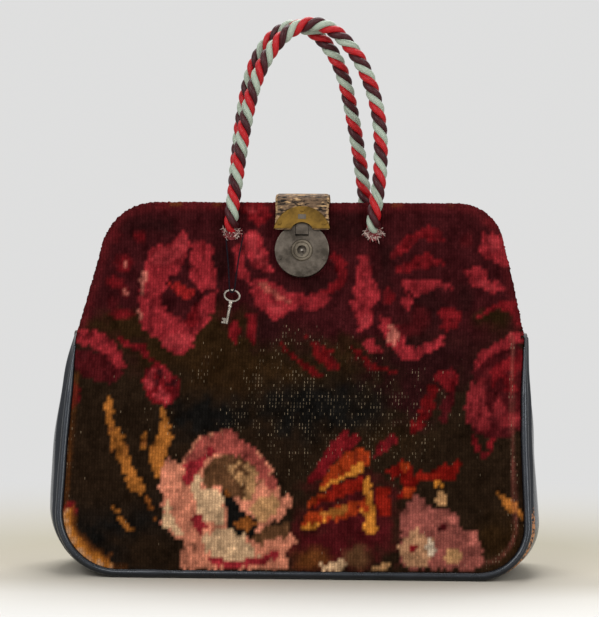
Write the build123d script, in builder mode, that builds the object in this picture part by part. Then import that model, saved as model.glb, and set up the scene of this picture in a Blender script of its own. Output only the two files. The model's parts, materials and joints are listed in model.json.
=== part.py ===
"""Carpet bag with two hinged jaws, a leather gusset, rope handles and a hasp lock. Millimetres."""
from build123d import *
import math
import os

os.makedirs("parts", exist_ok=True)

# Carpet body: the front is towards -Y, the bag stands on Z = 0
bag_top = 327
hinge_height = 208
carpet_thick = 4.5
lining_thick = 1.2
base_half_width = 206
base_seam_half = 66
base_mid_half = 68
base_side_half = 219
base_corner = 50
rim_half_width = 199
rim_seam_half = 13
rim_mid_half = 32
rim_side_half = 201.5
top_half_width = 169
top_seam_half = 13
top_mid_half = 13.4
top_corner = 37

# Jaws and their hinge
jaw_angle = 20
jaw_gap = 0.7
flex_gap = 0.5
frame_thick = 2
frame_width = 6.5
frame_gap = 0.4
ear_radius = 6
ear_inset = 2.3
ear_gap = 0.5
front_ear_rise = 9
back_ear_rise = 19
front_leg_rise = 6
back_leg_rise = 12
tab_radius = 8
tab_gap = 0.5
rivet_radius = 2
rivet_gap = 0.06
rivet_head_radius = 4.2
rivet_head_thick = 1.5
shoulder_radius = 3.4
shoulder_gap = 0.3

# Piping along the two seams
piping_radius = 3.5
piping_lift = 4.2
piping_corner = 44
piping_stop = 16
panel_reach = 34
overrun = 3

# Board and lining
board_side_gap = 16
board_seam_gap = 14
board_thick = 3
board_corner = 12
jaw_lining_margin = 4
jaw_lining_thick = 1

# Rope handles
rope_radius = 6
anchor_drop = 29
anchor_stand = 1.8
handle_rise = 190
rope_gap = 0.3
front_anchor_left = -62.5
front_anchor_right = 63
back_anchor_left = -65
back_anchor_right = 56
eyelet_radius = 9.5
eyelet_height = 1.2
eyelet_sink = 0.6
neck_radius = 4.8
neck_gap = 0.1
knot_radius = 8.5
knot_length = 11
bend_run_share = 0.45

# Lock case on the front jaw
lock_drop = 43
case_radius = 24
case_height = 5.8
case_sink = 0.6
case_edge = 0.7
cover_thick = 1.2
groove_width = 12
groove_start = 12.3
groove_floor = 2.2
boss_radius = 9.7
boss_inner_radius = 6.6
boss_height = 1.6
boss_sink = 1.4
key_hole_radius = 4.2
key_hole_depth = 3.4
drill_pin_radius = 1.1
drill_pin_rise = 0.9
ward_width = 2.2
ward_length = 5.6
lock_rivet_ring = 21.2
lock_rivet_radius = 1.3
lock_rivet_head_radius = 2.1
lock_rivet_head_rise = 0.9
lock_rivet_count = 3
lock_rivet_start = 198
lock_rivet_spread = 216
backplate_radius = 22.8
backplate_thick = 1.2
bolt_width = 2
bolt_depth = 2
bolt_length = 8
bolt_tip_radius = 0.75
bolt_tip_length = 5
bolt_centre = 4
bolt_gap = 0.25

# Hasp: leather strap, brass plate and tongue
strap_half_width = 23.5
strap_thick = 2.6
strap_clear = 0.3
strap_rise = 5.4
strap_end = 18
strap_front_bend = 7
strap_back_bend = 2.2
hasp_axis_depth = 15
hasp_axis_rise = 4
root_length = 38
root_drop = 1
root_corner = 6
plate_radius = 25.4
plate_centre = 13.3
plate_thick = 1.2
plate_base = 18.6
plate_edge = 0.35
notch_radius = 11
notch_gap = 0.5
tongue_width = 11
tongue_thick = 1.2
tongue_tip = 14.2
tongue_lip = 3.6
tongue_top = 34
lip_floor = 2.5
staple_hole = 1.8
tenon_width = 7
tenon_height = 4.2
tenon_level = 29.2
tenon_rise = 0.5
hasp_rivet_radius = 1.2
hasp_rivet_head_radius = 2
hasp_rivet_head_rise = 0.9
hasp_rivet_side = 20
hasp_rivet_side_level = 24
hasp_rivet_top_level = 35.6
root_rivet_side = 14
root_rivet_level = 26
clench_gap = 0.15

# Key and its string, hung on the front panel
key_x = -60.8
key_stand = 6.6
key_tilt = -10.5
key_bow_drop = 83.5
bow_half_width = 7.4
bow_half_height = 5.6
bow_wire = 1.35
shank_radius = 1.4
shank_length = 20.5
collar_radius = 2.1
collar_length = 1.6
collar_pitch = 3.2
bit_width = 4.6
bit_height = 4.6
bit_thick = 1.4
string_radius = 0.6
string_touch = 0.05

# Leaning panels and seams, worked out from the sizes above
jaw_rise = bag_top - hinge_height
panel_lean = math.degrees(math.atan2(rim_mid_half - top_mid_half, jaw_rise))
lean_sin = math.sin(math.radians(panel_lean))
lean_cos = math.cos(math.radians(panel_lean))
seam_rise = math.hypot(base_seam_half - rim_seam_half, hinge_height)
loft_half_width = rim_half_width + overrun
ear_outer = rim_half_width - carpet_thick - ear_inset
back_ear_outer = ear_outer - frame_thick - ear_gap
tab_inner = rim_side_half - carpet_thick
frame_near = jaw_gap + frame_gap
ear_sweep = (frame_near + frame_width) / math.cos(math.radians(jaw_angle)) + ear_gap
anchor_height = bag_top - anchor_drop
lock_height = bag_top - lock_drop
strap_inner = case_height + strap_clear
board_half_width = base_side_half - base_corner - board_side_gap
board_half_depth = base_seam_half - board_seam_gap
plate_level = strap_inner + strap_thick


def arc_depth(x, mid_half, seam_half):
    """Depth of a bowed section at a place along its width."""
    bow = mid_half - seam_half
    radius = (loft_half_width**2 + bow**2) / (bow + bow)
    return mid_half - (radius - math.sqrt(radius**2 - x**2))


def panel_depth(x, height):
    """Depth of the jaw's outer face at a place on it."""
    low = arc_depth(x, rim_mid_half, rim_seam_half)
    high = arc_depth(x, top_mid_half, top_seam_half)
    return low + (high - low) * (height - hinge_height) / jaw_rise


def panel_plane(x, height, side):
    """Plane on the jaw's outer face, its normal pointing out of the bag."""
    origin = (x, side * panel_depth(x, height), height)
    return Plane(origin, x_dir=(-side, 0, 0), z_dir=(0, side * lean_cos, lean_sin))


def seam_plane(side):
    """Leaning plane that holds the seam between a panel and the gusset."""
    drop = (base_seam_half - rim_seam_half) / seam_rise
    origin = (0, side * base_seam_half, 0)
    return Plane(origin, x_dir=(-side, 0, 0), z_dir=(0, side * hinge_height / seam_rise, drop))


def ring_section(height, half_width, seam_half, mid_half, side_half):
    """Closed outline of the lower bag: four arcs that meet at the seams."""
    with BuildSketch(Plane.XY.offset(height)) as section:
        with BuildLine():
            ThreePointArc((-half_width, -seam_half), (0, -mid_half), (half_width, -seam_half))
            ThreePointArc((half_width, -seam_half), (side_half, 0), (half_width, seam_half))
            ThreePointArc((half_width, seam_half), (0, mid_half), (-half_width, seam_half))
            ThreePointArc((-half_width, seam_half), (-side_half, 0), (-half_width, -seam_half))
        make_face()
    return section.sketch


def lower_body(inset):
    """Lower bag as a solid, drawn in by an inset on every wall."""
    base = ring_section(0, base_half_width - inset, base_seam_half - inset,
                        base_mid_half - inset, base_side_half - inset)
    rim = ring_section(hinge_height, rim_half_width - inset, rim_seam_half - inset,
                       rim_mid_half - inset, rim_side_half - inset)
    with BuildSketch(Plane.XZ) as outline:
        with Locations((0, (inset + hinge_height) / 2)):
            Rectangle(2 * (base_side_half - inset), hinge_height - inset)
        fillet(outline.vertices().group_by(Axis.Y)[0], base_corner - inset)
    with BuildPart() as body:
        loft([base, rim], ruled=True)
        extrude(outline.sketch, amount=base_mid_half + overrun, both=True, mode=Mode.INTERSECT)
    return body.part


def seam_outline(side, top):
    """Face of a lower panel inside its seam."""
    with BuildSketch(seam_plane(side).offset(-carpet_thick - flex_gap)) as face:
        with BuildLine():
            FilletPolyline(
                (-rim_half_width, top),
                (-base_half_width, piping_lift),
                (base_half_width, piping_lift),
                (rim_half_width, top),
                radius=piping_corner,
            )
            Line((rim_half_width, top), (-rim_half_width, top))
        make_face()
    return face.sketch


def jaw_outline(inset, plane=Plane.XZ):
    """Front view of a jaw with its rounded top corners, drawn in by an inset."""
    slope = (rim_half_width - top_half_width) / jaw_rise
    upper = top_half_width - inset + slope * inset
    lower = rim_half_width - inset
    with BuildSketch(plane) as outline:
        with BuildLine():
            Polyline(
                (-lower, hinge_height),
                (-upper, bag_top - inset),
                (upper, bag_top - inset),
                (lower, hinge_height),
                close=True,
            )
        make_face()
        fillet(outline.vertices().group_by(Axis.Y)[-1], top_corner - inset)
    return outline.sketch


def jaw_section(height, side, seam_half, mid_half, mouth):
    """Plan of a jaw at one height: a bowed face and a straight mouth."""
    with BuildSketch(Plane.XY.offset(height)) as section:
        with BuildLine():
            ThreePointArc(
                (-loft_half_width, side * seam_half),
                (0, side * mid_half),
                (loft_half_width, side * seam_half),
            )
            Polyline(
                (loft_half_width, side * seam_half),
                (loft_half_width, side * mouth),
                (-loft_half_width, side * mouth),
                (-loft_half_width, side * seam_half),
            )
        make_face()
    return section.sketch


def jaw_body(side, inset, mouth):
    """One jaw as a solid, drawn in by an inset and closed at the mouth."""
    low = jaw_section(hinge_height, side, rim_seam_half - inset, rim_mid_half - inset, mouth)
    high = jaw_section(bag_top, side, top_seam_half - inset, top_mid_half - inset, mouth)
    with BuildPart() as body:
        loft([low, high], ruled=True)
        extrude(jaw_outline(inset), amount=rim_mid_half + overrun, both=True, mode=Mode.INTERSECT)
    return body.part


def jaw_shell(side):
    """Carpet tray of one jaw, open at the mouth and below, cut round the hinge tabs."""
    with BuildPart() as shell:
        add(jaw_body(side, 0, jaw_gap))
        add(jaw_body(side, carpet_thick, -overrun), mode=Mode.SUBTRACT)
        with BuildSketch(Plane.YZ) as notch:
            with Locations((0, hinge_height)):
                Circle(tab_radius + tab_gap)
        extrude(notch.sketch, amount=loft_half_width, both=True, mode=Mode.SUBTRACT)
    return shell.part


def fold_plane(side, lift):
    """Plane through the hinge that bounds the strip which folds as the jaw opens."""
    angle = math.radians(jaw_angle)
    normal = (0, -side * math.sin(angle), math.cos(angle))
    return Plane((0, 0, hinge_height + lift), x_dir=(1, 0, 0), z_dir=normal)


# Lower bag: one shell that the seams divide into panels and gusset
with BuildPart() as lower_shell:
    add(lower_body(0))
    add(lower_body(carpet_thick), mode=Mode.SUBTRACT)


def seam_piping(side):
    """Round piping along one seam, from the hinge down, along the bottom and up again."""
    side_step = (base_half_width - rim_half_width) * piping_stop / seam_rise
    with BuildPart() as piping:
        with BuildLine(seam_plane(side)) as seam:
            FilletPolyline(
                (-rim_half_width - side_step, seam_rise - piping_stop),
                (-base_half_width, piping_lift),
                (base_half_width, piping_lift),
                (rim_half_width + side_step, seam_rise - piping_stop),
                radius=piping_corner,
            )
        with BuildSketch(Plane(seam.line @ 0, z_dir=seam.line % 0)):
            Circle(piping_radius)
        sweep()
    return piping.part


with BuildPart() as front_piping:
    add(seam_piping(-1))
front_piping.part.label = "front_piping"
export_step(front_piping.part, "parts/front_piping.step")

with BuildPart() as back_piping:
    add(seam_piping(1))
back_piping.part.label = "back_piping"
export_step(back_piping.part, "parts/back_piping.step")

with BuildPart() as front_carpet_lower:
    add(lower_shell.part)
    extrude(seam_outline(-1, seam_rise + panel_reach), amount=panel_reach, mode=Mode.INTERSECT)
    add(front_piping.part, mode=Mode.SUBTRACT)
front_carpet_lower.part.label = "front_carpet_lower"
export_step(front_carpet_lower.part, "parts/front_carpet_lower.step")

with BuildPart() as back_carpet_lower:
    add(lower_shell.part)
    extrude(seam_outline(1, seam_rise + panel_reach), amount=panel_reach, mode=Mode.INTERSECT)
    add(back_piping.part, mode=Mode.SUBTRACT)
back_carpet_lower.part.label = "back_carpet_lower"
export_step(back_carpet_lower.part, "parts/back_carpet_lower.step")

# Hinge rivets: inner head, shank through both ears, shoulder and outer head
inner_head = back_ear_outer - frame_thick - shoulder_gap
hinge_steps = [
    (inner_head, -rivet_head_thick, rivet_head_radius),
    (inner_head, rim_side_half - inner_head, rivet_radius),
    (ear_outer + shoulder_gap, tab_inner - ear_outer - shoulder_gap, shoulder_radius),
    (rim_side_half, rivet_head_thick, rivet_head_radius),
]


def hinge_rivet(hand):
    """Rivet that joins both jaws to the gusset on one side of the bag."""
    with BuildPart() as rivet:
        for start, length, radius in hinge_steps:
            with BuildSketch(Plane.YZ.offset(hand * start)):
                with Locations((0, hinge_height)):
                    Circle(radius)
            extrude(amount=hand * length)
    return rivet.part


with BuildPart() as hinge_rivet_right:
    add(hinge_rivet(1))
hinge_rivet_right.part.label = "hinge_rivet_right"
export_step(hinge_rivet_right.part, "parts/hinge_rivet_right.step")

with BuildPart() as hinge_rivet_left:
    add(hinge_rivet(-1))
hinge_rivet_left.part.label = "hinge_rivet_left"
export_step(hinge_rivet_left.part, "parts/hinge_rivet_left.step")

# Gusset: sides and bottom in one strip, with a rounded tab at each hinge
with BuildPart() as gusset:
    add(lower_shell.part)
    extrude(seam_outline(-1, seam_rise + panel_reach), amount=panel_reach, mode=Mode.SUBTRACT)
    extrude(seam_outline(1, seam_rise + panel_reach), amount=panel_reach, mode=Mode.SUBTRACT)
    add(front_piping.part, mode=Mode.SUBTRACT)
    add(back_piping.part, mode=Mode.SUBTRACT)
    with BuildSketch(Plane.YZ.offset(tab_inner)) as right_tab:
        with Locations((0, hinge_height)):
            Circle(tab_radius)
    extrude(amount=carpet_thick)
    mirror(extrude(right_tab.sketch, amount=carpet_thick, mode=Mode.PRIVATE), about=Plane.YZ)
    add(lower_body(carpet_thick), mode=Mode.SUBTRACT)
    add(hinge_rivet_left.part, mode=Mode.SUBTRACT)
    add(hinge_rivet_right.part, mode=Mode.SUBTRACT)
gusset.part.label = "gusset"
export_step(gusset.part, "parts/gusset.step")

# Lining of the lower bag and the stiffening board on its floor
with BuildPart() as lining:
    add(lower_body(carpet_thick))
    add(lower_body(carpet_thick + lining_thick), mode=Mode.SUBTRACT)
    add(front_piping.part, mode=Mode.SUBTRACT)
    add(back_piping.part, mode=Mode.SUBTRACT)
    with BuildSketch(Plane.YZ):
        with Locations((0, hinge_height)):
            Circle(ear_sweep)
    extrude(amount=base_side_half, both=True, mode=Mode.SUBTRACT)
lining.part.label = "lining"
export_step(lining.part, "parts/lining.step")

with BuildPart() as bottom_board:
    with BuildSketch(Plane.XY.offset(carpet_thick + lining_thick)):
        RectangleRounded(2 * board_half_width, 2 * board_half_depth, board_corner)
    extrude(amount=board_thick)
bottom_board.part.label = "bottom_board"
export_step(bottom_board.part, "parts/bottom_board.step")

# Lock and anchor seats on the jaws
lock_face = panel_plane(0, lock_height, -1)
lock_section = Plane(lock_face.origin, x_dir=(0, lean_sin, lean_cos), z_dir=(1, 0, 0))
front_anchors = [panel_plane(x, anchor_height, -1) for x in (front_anchor_left, front_anchor_right)]
back_anchors = [panel_plane(x, anchor_height, 1) for x in (back_anchor_left, back_anchor_right)]
inner_face = -carpet_thick * lean_cos
knot_seat = inner_face + eyelet_sink
lock_rivet_places = PolarLocations(lock_rivet_ring, lock_rivet_count, lock_rivet_start, lock_rivet_spread)


def anchor_seats(anchors):
    """Holes for the rope ends, with a flat seat inside and out."""
    with BuildPart() as seats:
        for anchor in anchors:
            with BuildSketch(anchor.offset(-carpet_thick - overrun)):
                Circle(neck_radius + neck_gap)
            extrude(amount=carpet_thick + overrun + overrun)
            with BuildSketch(anchor.offset(-eyelet_sink)):
                Circle(eyelet_radius)
            extrude(amount=overrun)
            with BuildSketch(anchor.offset(knot_seat)):
                Circle(knot_radius)
            extrude(amount=-overrun)
    return seats.part


with BuildPart() as front_carpet_upper:
    add(jaw_shell(-1))
    split(bisect_by=fold_plane(-1, flex_gap), keep=Keep.TOP)
    add(anchor_seats(front_anchors), mode=Mode.SUBTRACT)
    with BuildSketch(lock_face.offset(-case_sink)):
        Circle(case_radius)
    extrude(amount=overrun, mode=Mode.SUBTRACT)
    with BuildSketch(lock_face.offset(inner_face + case_sink)):
        Circle(backplate_radius)
    extrude(amount=-overrun, mode=Mode.SUBTRACT)
    with BuildSketch(lock_face.offset(-carpet_thick - overrun)):
        with lock_rivet_places:
            Circle(lock_rivet_radius)
    extrude(amount=carpet_thick + overrun + overrun, mode=Mode.SUBTRACT)
front_carpet_upper.part.label = "front_carpet_upper"
export_step(front_carpet_upper.part, "parts/front_carpet_upper.step")

root_face = panel_plane(0, bag_top, 1)
root_rivet_places = [(-root_rivet_side, -root_rivet_level), (root_rivet_side, -root_rivet_level)]

with BuildPart() as back_carpet_upper:
    add(jaw_shell(1))
    split(bisect_by=fold_plane(1, flex_gap), keep=Keep.TOP)
    add(anchor_seats(back_anchors), mode=Mode.SUBTRACT)
    with BuildSketch(root_face.offset(-carpet_thick - overrun)):
        with Locations(*root_rivet_places):
            Circle(lock_rivet_radius)
    extrude(amount=carpet_thick + overrun + overrun, mode=Mode.SUBTRACT)
back_carpet_upper.part.label = "back_carpet_upper"
export_step(back_carpet_upper.part, "parts/back_carpet_upper.step")

# Strips of carpet that fold as the jaws open
with BuildPart() as front_carpet_fold:
    add(jaw_shell(-1))
    split(bisect_by=fold_plane(-1, 0), keep=Keep.BOTTOM)
front_carpet_fold.part.label = "front_carpet_fold"
export_step(front_carpet_fold.part, "parts/front_carpet_fold.step")

with BuildPart() as back_carpet_fold:
    add(jaw_shell(1))
    split(bisect_by=fold_plane(1, 0), keep=Keep.BOTTOM)
back_carpet_fold.part.label = "back_carpet_fold"
export_step(back_carpet_fold.part, "parts/back_carpet_fold.step")


def jaw_frame(side, ear_face, leg_rise, ear_rise):
    """Steel strip bent round a jaw's rim, with a drilled ear at each end."""
    plane = Plane.XZ.offset(-side * frame_near)
    with BuildPart() as frame:
        extrude(jaw_outline(carpet_thick, plane), amount=-side * frame_width)
        inside = jaw_outline(carpet_thick + frame_thick, plane)
        extrude(inside, amount=-side * frame_width, mode=Mode.SUBTRACT)
        split(bisect_by=Plane.XY.offset(hinge_height + leg_rise), keep=Keep.TOP)
        with BuildSketch(Plane.YZ.offset(ear_face)) as ear:
            with Locations((0, hinge_height)):
                Circle(ear_radius)
            with Locations((side * (frame_near + frame_width / 2), hinge_height + ear_rise / 2)):
                Rectangle(frame_width, ear_rise)
            with Locations((0, hinge_height)):
                Circle(rivet_radius + rivet_gap, mode=Mode.SUBTRACT)
        extrude(amount=-frame_thick)
        mirror(extrude(ear.sketch, amount=-frame_thick, mode=Mode.PRIVATE), about=Plane.YZ)
    return frame.part


with BuildPart() as front_frame:
    add(jaw_frame(-1, ear_outer, front_leg_rise, front_ear_rise))
front_frame.part.label = "front_frame"
export_step(front_frame.part, "parts/front_frame.step")

with BuildPart() as back_frame:
    add(jaw_frame(1, back_ear_outer, back_leg_rise, back_ear_rise))
back_frame.part.label = "back_frame"
export_step(back_frame.part, "parts/back_frame.step")


def jaw_lining(side, anchors):
    """Cloth behind a jaw's carpet, inside the frame, cut out round the rope knots."""
    inset = carpet_thick + frame_thick + jaw_lining_margin
    with BuildPart() as cloth:
        add(jaw_body(side, carpet_thick, jaw_gap))
        add(jaw_body(side, carpet_thick + jaw_lining_thick, -overrun), mode=Mode.SUBTRACT)
        extrude(jaw_outline(inset), amount=rim_mid_half, both=True, mode=Mode.INTERSECT)
        split(bisect_by=fold_plane(side, jaw_lining_margin), keep=Keep.TOP)
        for anchor in anchors:
            with BuildSketch(anchor.offset(inner_face + eyelet_sink)):
                Circle(knot_radius + neck_gap)
            extrude(amount=-rim_mid_half, mode=Mode.SUBTRACT)
    return cloth.part


with BuildPart() as front_jaw_lining:
    add(jaw_lining(-1, front_anchors))
    with BuildSketch(lock_face.offset(inner_face + case_sink)):
        Circle(lock_rivet_ring + lock_rivet_head_radius + neck_gap)
    extrude(amount=-rim_mid_half, mode=Mode.SUBTRACT)
front_jaw_lining.part.label = "front_jaw_lining"
export_step(front_jaw_lining.part, "parts/front_jaw_lining.step")

with BuildPart() as back_jaw_lining:
    add(jaw_lining(1, back_anchors))
    with BuildSketch(root_face.offset(inner_face)):
        with Locations(*root_rivet_places):
            Circle(lock_rivet_head_radius + neck_gap)
    extrude(amount=-rim_mid_half, mode=Mode.SUBTRACT)
back_jaw_lining.part.label = "back_jaw_lining"
export_step(back_jaw_lining.part, "parts/back_jaw_lining.step")

# Rope handles: routes as width and rise above the anchors
front_rope_route = [
    (front_anchor_left, 0), (-58.5, 47), (-51, 102), (-41, 142.5), (-23, 173), (-2, 187),
    (17, 187), (35, 175), (53.5, 150), (67.5, 108), (69.5, 62), (65, 27), (front_anchor_right, 0),
]
back_rope_route = [
    (back_anchor_left, 0), (-62.5, 47), (-57.5, 96), (-50.5, 136), (-40, 164), (-22, 183.5), (-2, 188),
    (17.5, 174.5), (33.5, 149), (42.5, 110), (50.5, 64), (55, 29), (back_anchor_right, 0),
]


def route_radii(points):
    """Largest bend at each corner of a route that its two runs leave room for."""
    radii = []
    for before, here, after in zip(points, points[1:], points[2:]):
        leg_in = Vector(*here) - Vector(*before)
        leg_out = Vector(*after) - Vector(*here)
        turn = math.radians(leg_in.get_angle(leg_out))
        radii.append(bend_run_share * min(leg_in.length, leg_out.length) / math.tan(turn / 2))
    return radii


def handle_plane(side, anchors):
    """Plane of a handle, leaning in until the two ropes nearly meet at the top."""
    stand = rope_radius + anchor_stand
    depth = panel_depth(anchors[0].origin.X, anchor_height) + stand * lean_cos
    lean = math.asin((depth - rope_radius - rope_gap) / handle_rise)
    origin = (0, side * depth, anchor_height + stand * lean_sin)
    return Plane(origin, x_dir=(1, 0, 0), z_dir=(0, -math.cos(lean), -side * math.sin(lean)))


def rope_handle(plane, route):
    """Rope loop with a round end at each anchor."""
    with BuildPart() as rope:
        with BuildLine(plane) as path:
            FilletPolyline(*route, radius=route_radii(route))
        with BuildSketch(Plane(path.line @ 0, z_dir=path.line % 0)):
            Circle(rope_radius)
        sweep()
        with Locations(path.line @ 0, path.line @ 1):
            Sphere(rope_radius)
    return rope.part


front_handle_plane = handle_plane(-1, front_anchors)
back_handle_plane = handle_plane(1, back_anchors)
print("front handle radii", [round(radius) for radius in route_radii(front_rope_route)])
print("back handle radii", [round(radius) for radius in route_radii(back_rope_route)])

with BuildPart() as front_handle:
    add(rope_handle(front_handle_plane, front_rope_route))
front_handle.part.label = "front_handle"
export_step(front_handle.part, "parts/front_handle.step")

with BuildPart() as back_handle:
    add(rope_handle(back_handle_plane, back_rope_route))
back_handle.part.label = "back_handle"
export_step(back_handle.part, "parts/back_handle.step")


def rope_ends(anchors):
    """Rope ends through the carpet, each with its knot inside."""
    with BuildPart() as ends:
        for anchor in anchors:
            with BuildSketch(anchor.offset(eyelet_height)):
                Circle(neck_radius)
            extrude(amount=knot_seat - eyelet_height)
            with BuildSketch(anchor.offset(knot_seat)):
                Circle(knot_radius)
            extrude(amount=-knot_length)
    return ends.part


def eyelets(anchors):
    """Stitched rings on the carpet where the rope passes through."""
    with BuildPart() as rings:
        for anchor in anchors:
            with BuildSketch(anchor.offset(-eyelet_sink)):
                Circle(eyelet_radius)
                Circle(neck_radius, mode=Mode.SUBTRACT)
            extrude(amount=eyelet_sink + eyelet_height)
    return rings.part


with BuildPart() as front_rope_ends:
    add(rope_ends(front_anchors))
front_rope_ends.part.label = "front_rope_ends"
export_step(front_rope_ends.part, "parts/front_rope_ends.step")

with BuildPart() as back_rope_ends:
    add(rope_ends(back_anchors))
back_rope_ends.part.label = "back_rope_ends"
export_step(back_rope_ends.part, "parts/back_rope_ends.step")

with BuildPart() as front_eyelets:
    add(eyelets(front_anchors))
front_eyelets.part.label = "front_eyelets"
export_step(front_eyelets.part, "parts/front_eyelets.step")

with BuildPart() as back_eyelets:
    add(eyelets(back_anchors))
back_eyelets.part.label = "back_eyelets"
export_step(back_eyelets.part, "parts/back_eyelets.step")

# Lock case with its key hole, tongue groove and bolt channel
case_back = cover_thick - case_sink
boss_seat = case_height - boss_sink
bolt_level = tongue_tip + tongue_lip / 2
channel_length = bolt_length + bolt_gap + bolt_gap
channel_middle = -(groove_width + channel_length) / 2

with BuildPart() as lock_case:
    with BuildSketch(lock_face.offset(case_back)):
        Circle(case_radius)
    extrude(amount=case_height - case_back)
    fillet(lock_case.faces().sort_by(Axis(lock_face.origin, lock_face.z_dir))[-1].edges(), case_edge)
    with BuildSketch(lock_face.offset(boss_seat)):
        Circle(boss_radius)
    extrude(amount=overrun, mode=Mode.SUBTRACT)
    with BuildSketch(lock_face.offset(boss_seat)):
        Circle(key_hole_radius)
        with Locations((0, -ward_length / 2)):
            Rectangle(ward_width, ward_length)
    extrude(amount=-key_hole_depth, mode=Mode.SUBTRACT)
    with BuildSketch(lock_face.offset(groove_floor)):
        with Locations((0, groove_start + case_radius / 2)):
            Rectangle(groove_width, case_radius)
    extrude(amount=case_height, mode=Mode.SUBTRACT)
    with BuildSketch(lock_face.offset(case_back)):
        with Locations((channel_middle, bolt_level)):
            Rectangle(channel_length + bolt_gap, bolt_width + bolt_gap + bolt_gap)
    extrude(amount=bolt_centre + bolt_depth / 2 + bolt_gap - case_back, mode=Mode.SUBTRACT)
    with BuildSketch(lock_face.offset(case_back)):
        with lock_rivet_places:
            Circle(lock_rivet_radius)
    extrude(amount=case_height, mode=Mode.SUBTRACT)
lock_case.part.label = "lock_case"
export_step(lock_case.part, "parts/lock_case.step")

with BuildPart() as lock_cover:
    with BuildSketch(lock_face.offset(-case_sink)):
        Circle(case_radius)
        with lock_rivet_places:
            Circle(lock_rivet_radius, mode=Mode.SUBTRACT)
    extrude(amount=cover_thick)
lock_cover.part.label = "lock_cover"
export_step(lock_cover.part, "parts/lock_cover.step")

with BuildPart() as lock_boss:
    with BuildSketch(lock_section):
        with BuildLine():
            Polyline(
                (key_hole_radius, boss_seat),
                (boss_radius, boss_seat),
                (boss_radius, case_height + boss_height / 2),
                (boss_radius - boss_height / 2, case_height + boss_height),
                (boss_inner_radius + boss_height / 2, case_height + boss_height),
                (boss_inner_radius, case_height + boss_height / 2),
                (key_hole_radius, case_height + boss_height / 2),
                close=True,
            )
        make_face()
    revolve(axis=Axis(lock_face.origin, lock_face.z_dir))
    with BuildSketch(lock_face.offset(boss_seat)):
        with Locations((0, -ward_length / 2)):
            Rectangle(ward_width, ward_length)
    extrude(amount=case_height, mode=Mode.SUBTRACT)
lock_boss.part.label = "lock_boss"
export_step(lock_boss.part, "parts/lock_boss.step")

with BuildPart() as lock_drill_pin:
    with BuildSketch(lock_face.offset(boss_seat - key_hole_depth)):
        Circle(drill_pin_radius)
    extrude(amount=key_hole_depth + boss_sink + drill_pin_rise)
lock_drill_pin.part.label = "lock_drill_pin"
export_step(lock_drill_pin.part, "parts/lock_drill_pin.step")

with BuildPart() as lock_backplate:
    with BuildSketch(lock_face.offset(inner_face + case_sink)):
        Circle(backplate_radius)
        with lock_rivet_places:
            Circle(lock_rivet_radius, mode=Mode.SUBTRACT)
    extrude(amount=-backplate_thick)
lock_backplate.part.label = "lock_backplate"
export_step(lock_backplate.part, "parts/lock_backplate.step")

rivet_back = inner_face + case_sink - backplate_thick
with BuildPart() as lock_rivets:
    with BuildSketch(lock_face.offset(rivet_back)):
        with lock_rivet_places:
            Circle(lock_rivet_radius)
    extrude(amount=case_height - rivet_back)
    with BuildSketch(lock_face.offset(rivet_back)):
        with lock_rivet_places:
            Circle(lock_rivet_head_radius)
    extrude(amount=-lock_rivet_head_rise)
    with BuildSketch(lock_face.offset(case_height)):
        with lock_rivet_places:
            Circle(lock_rivet_head_radius)
    extrude(amount=lock_rivet_head_rise)
lock_rivets.part.label = "lock_rivets"
export_step(lock_rivets.part, "parts/lock_rivets.step")

bolt_face = -groove_width / 2 - bolt_gap
with BuildPart() as lock_bolt:
    with BuildSketch(lock_section.offset(bolt_face)):
        with Locations((bolt_level, bolt_centre)):
            Circle(bolt_tip_radius)
    extrude(amount=-bolt_tip_length)
    with BuildSketch(lock_section.offset(bolt_face - bolt_tip_length)):
        with Locations((bolt_level, bolt_centre)):
            Rectangle(bolt_width, bolt_depth)
    extrude(amount=bolt_tip_length - bolt_length)
lock_bolt.part.label = "lock_bolt"
export_step(lock_bolt.part, "parts/lock_bolt.step")

# Hasp strap: up the front, over the closed jaws and down to its bend at the back
strap_middle = strap_inner + strap_thick / 2
strap_top = bag_top + strap_rise + strap_thick / 2
strap_foot = lock_section.from_local_coords((strap_end, strap_middle, 0))
strap_corner = strap_foot.Y + (strap_top - strap_foot.Z) * lean_sin / lean_cos
hasp_axis_height = bag_top + hasp_axis_rise
hasp_rivet_places = [
    (-hasp_rivet_side, hasp_rivet_side_level),
    (hasp_rivet_side, hasp_rivet_side_level),
    (0, hasp_rivet_top_level),
]


def hasp_holes(grow):
    """Cutter for the notch, the tenon and the rivets of the hasp."""
    with BuildPart() as holes:
        with BuildSketch(lock_face.offset(strap_inner - overrun)):
            with Locations((0, plate_centre)):
                Circle(notch_radius + grow)
            with Locations((0, tenon_level)):
                Rectangle(tenon_width, tenon_height)
            with Locations(*hasp_rivet_places):
                Circle(hasp_rivet_radius)
        extrude(amount=strap_thick + plate_thick + overrun + overrun)
    return holes.part


with BuildPart() as hasp_strap:
    with BuildLine(Plane.YZ) as strap_path:
        FilletPolyline(
            (strap_foot.Y, strap_foot.Z),
            (strap_corner, strap_top),
            (hasp_axis_depth, strap_top),
            (hasp_axis_depth, hasp_axis_height),
            radius=[strap_front_bend, strap_back_bend],
        )
    with BuildSketch(Plane(strap_path.line @ 0, x_dir=(1, 0, 0), z_dir=strap_path.line % 0)):
        Rectangle(2 * strap_half_width, strap_thick)
    sweep()
    add(hasp_holes(notch_gap), mode=Mode.SUBTRACT)
hasp_strap.part.label = "hasp_strap"
export_step(hasp_strap.part, "parts/hasp_strap.step")

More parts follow.
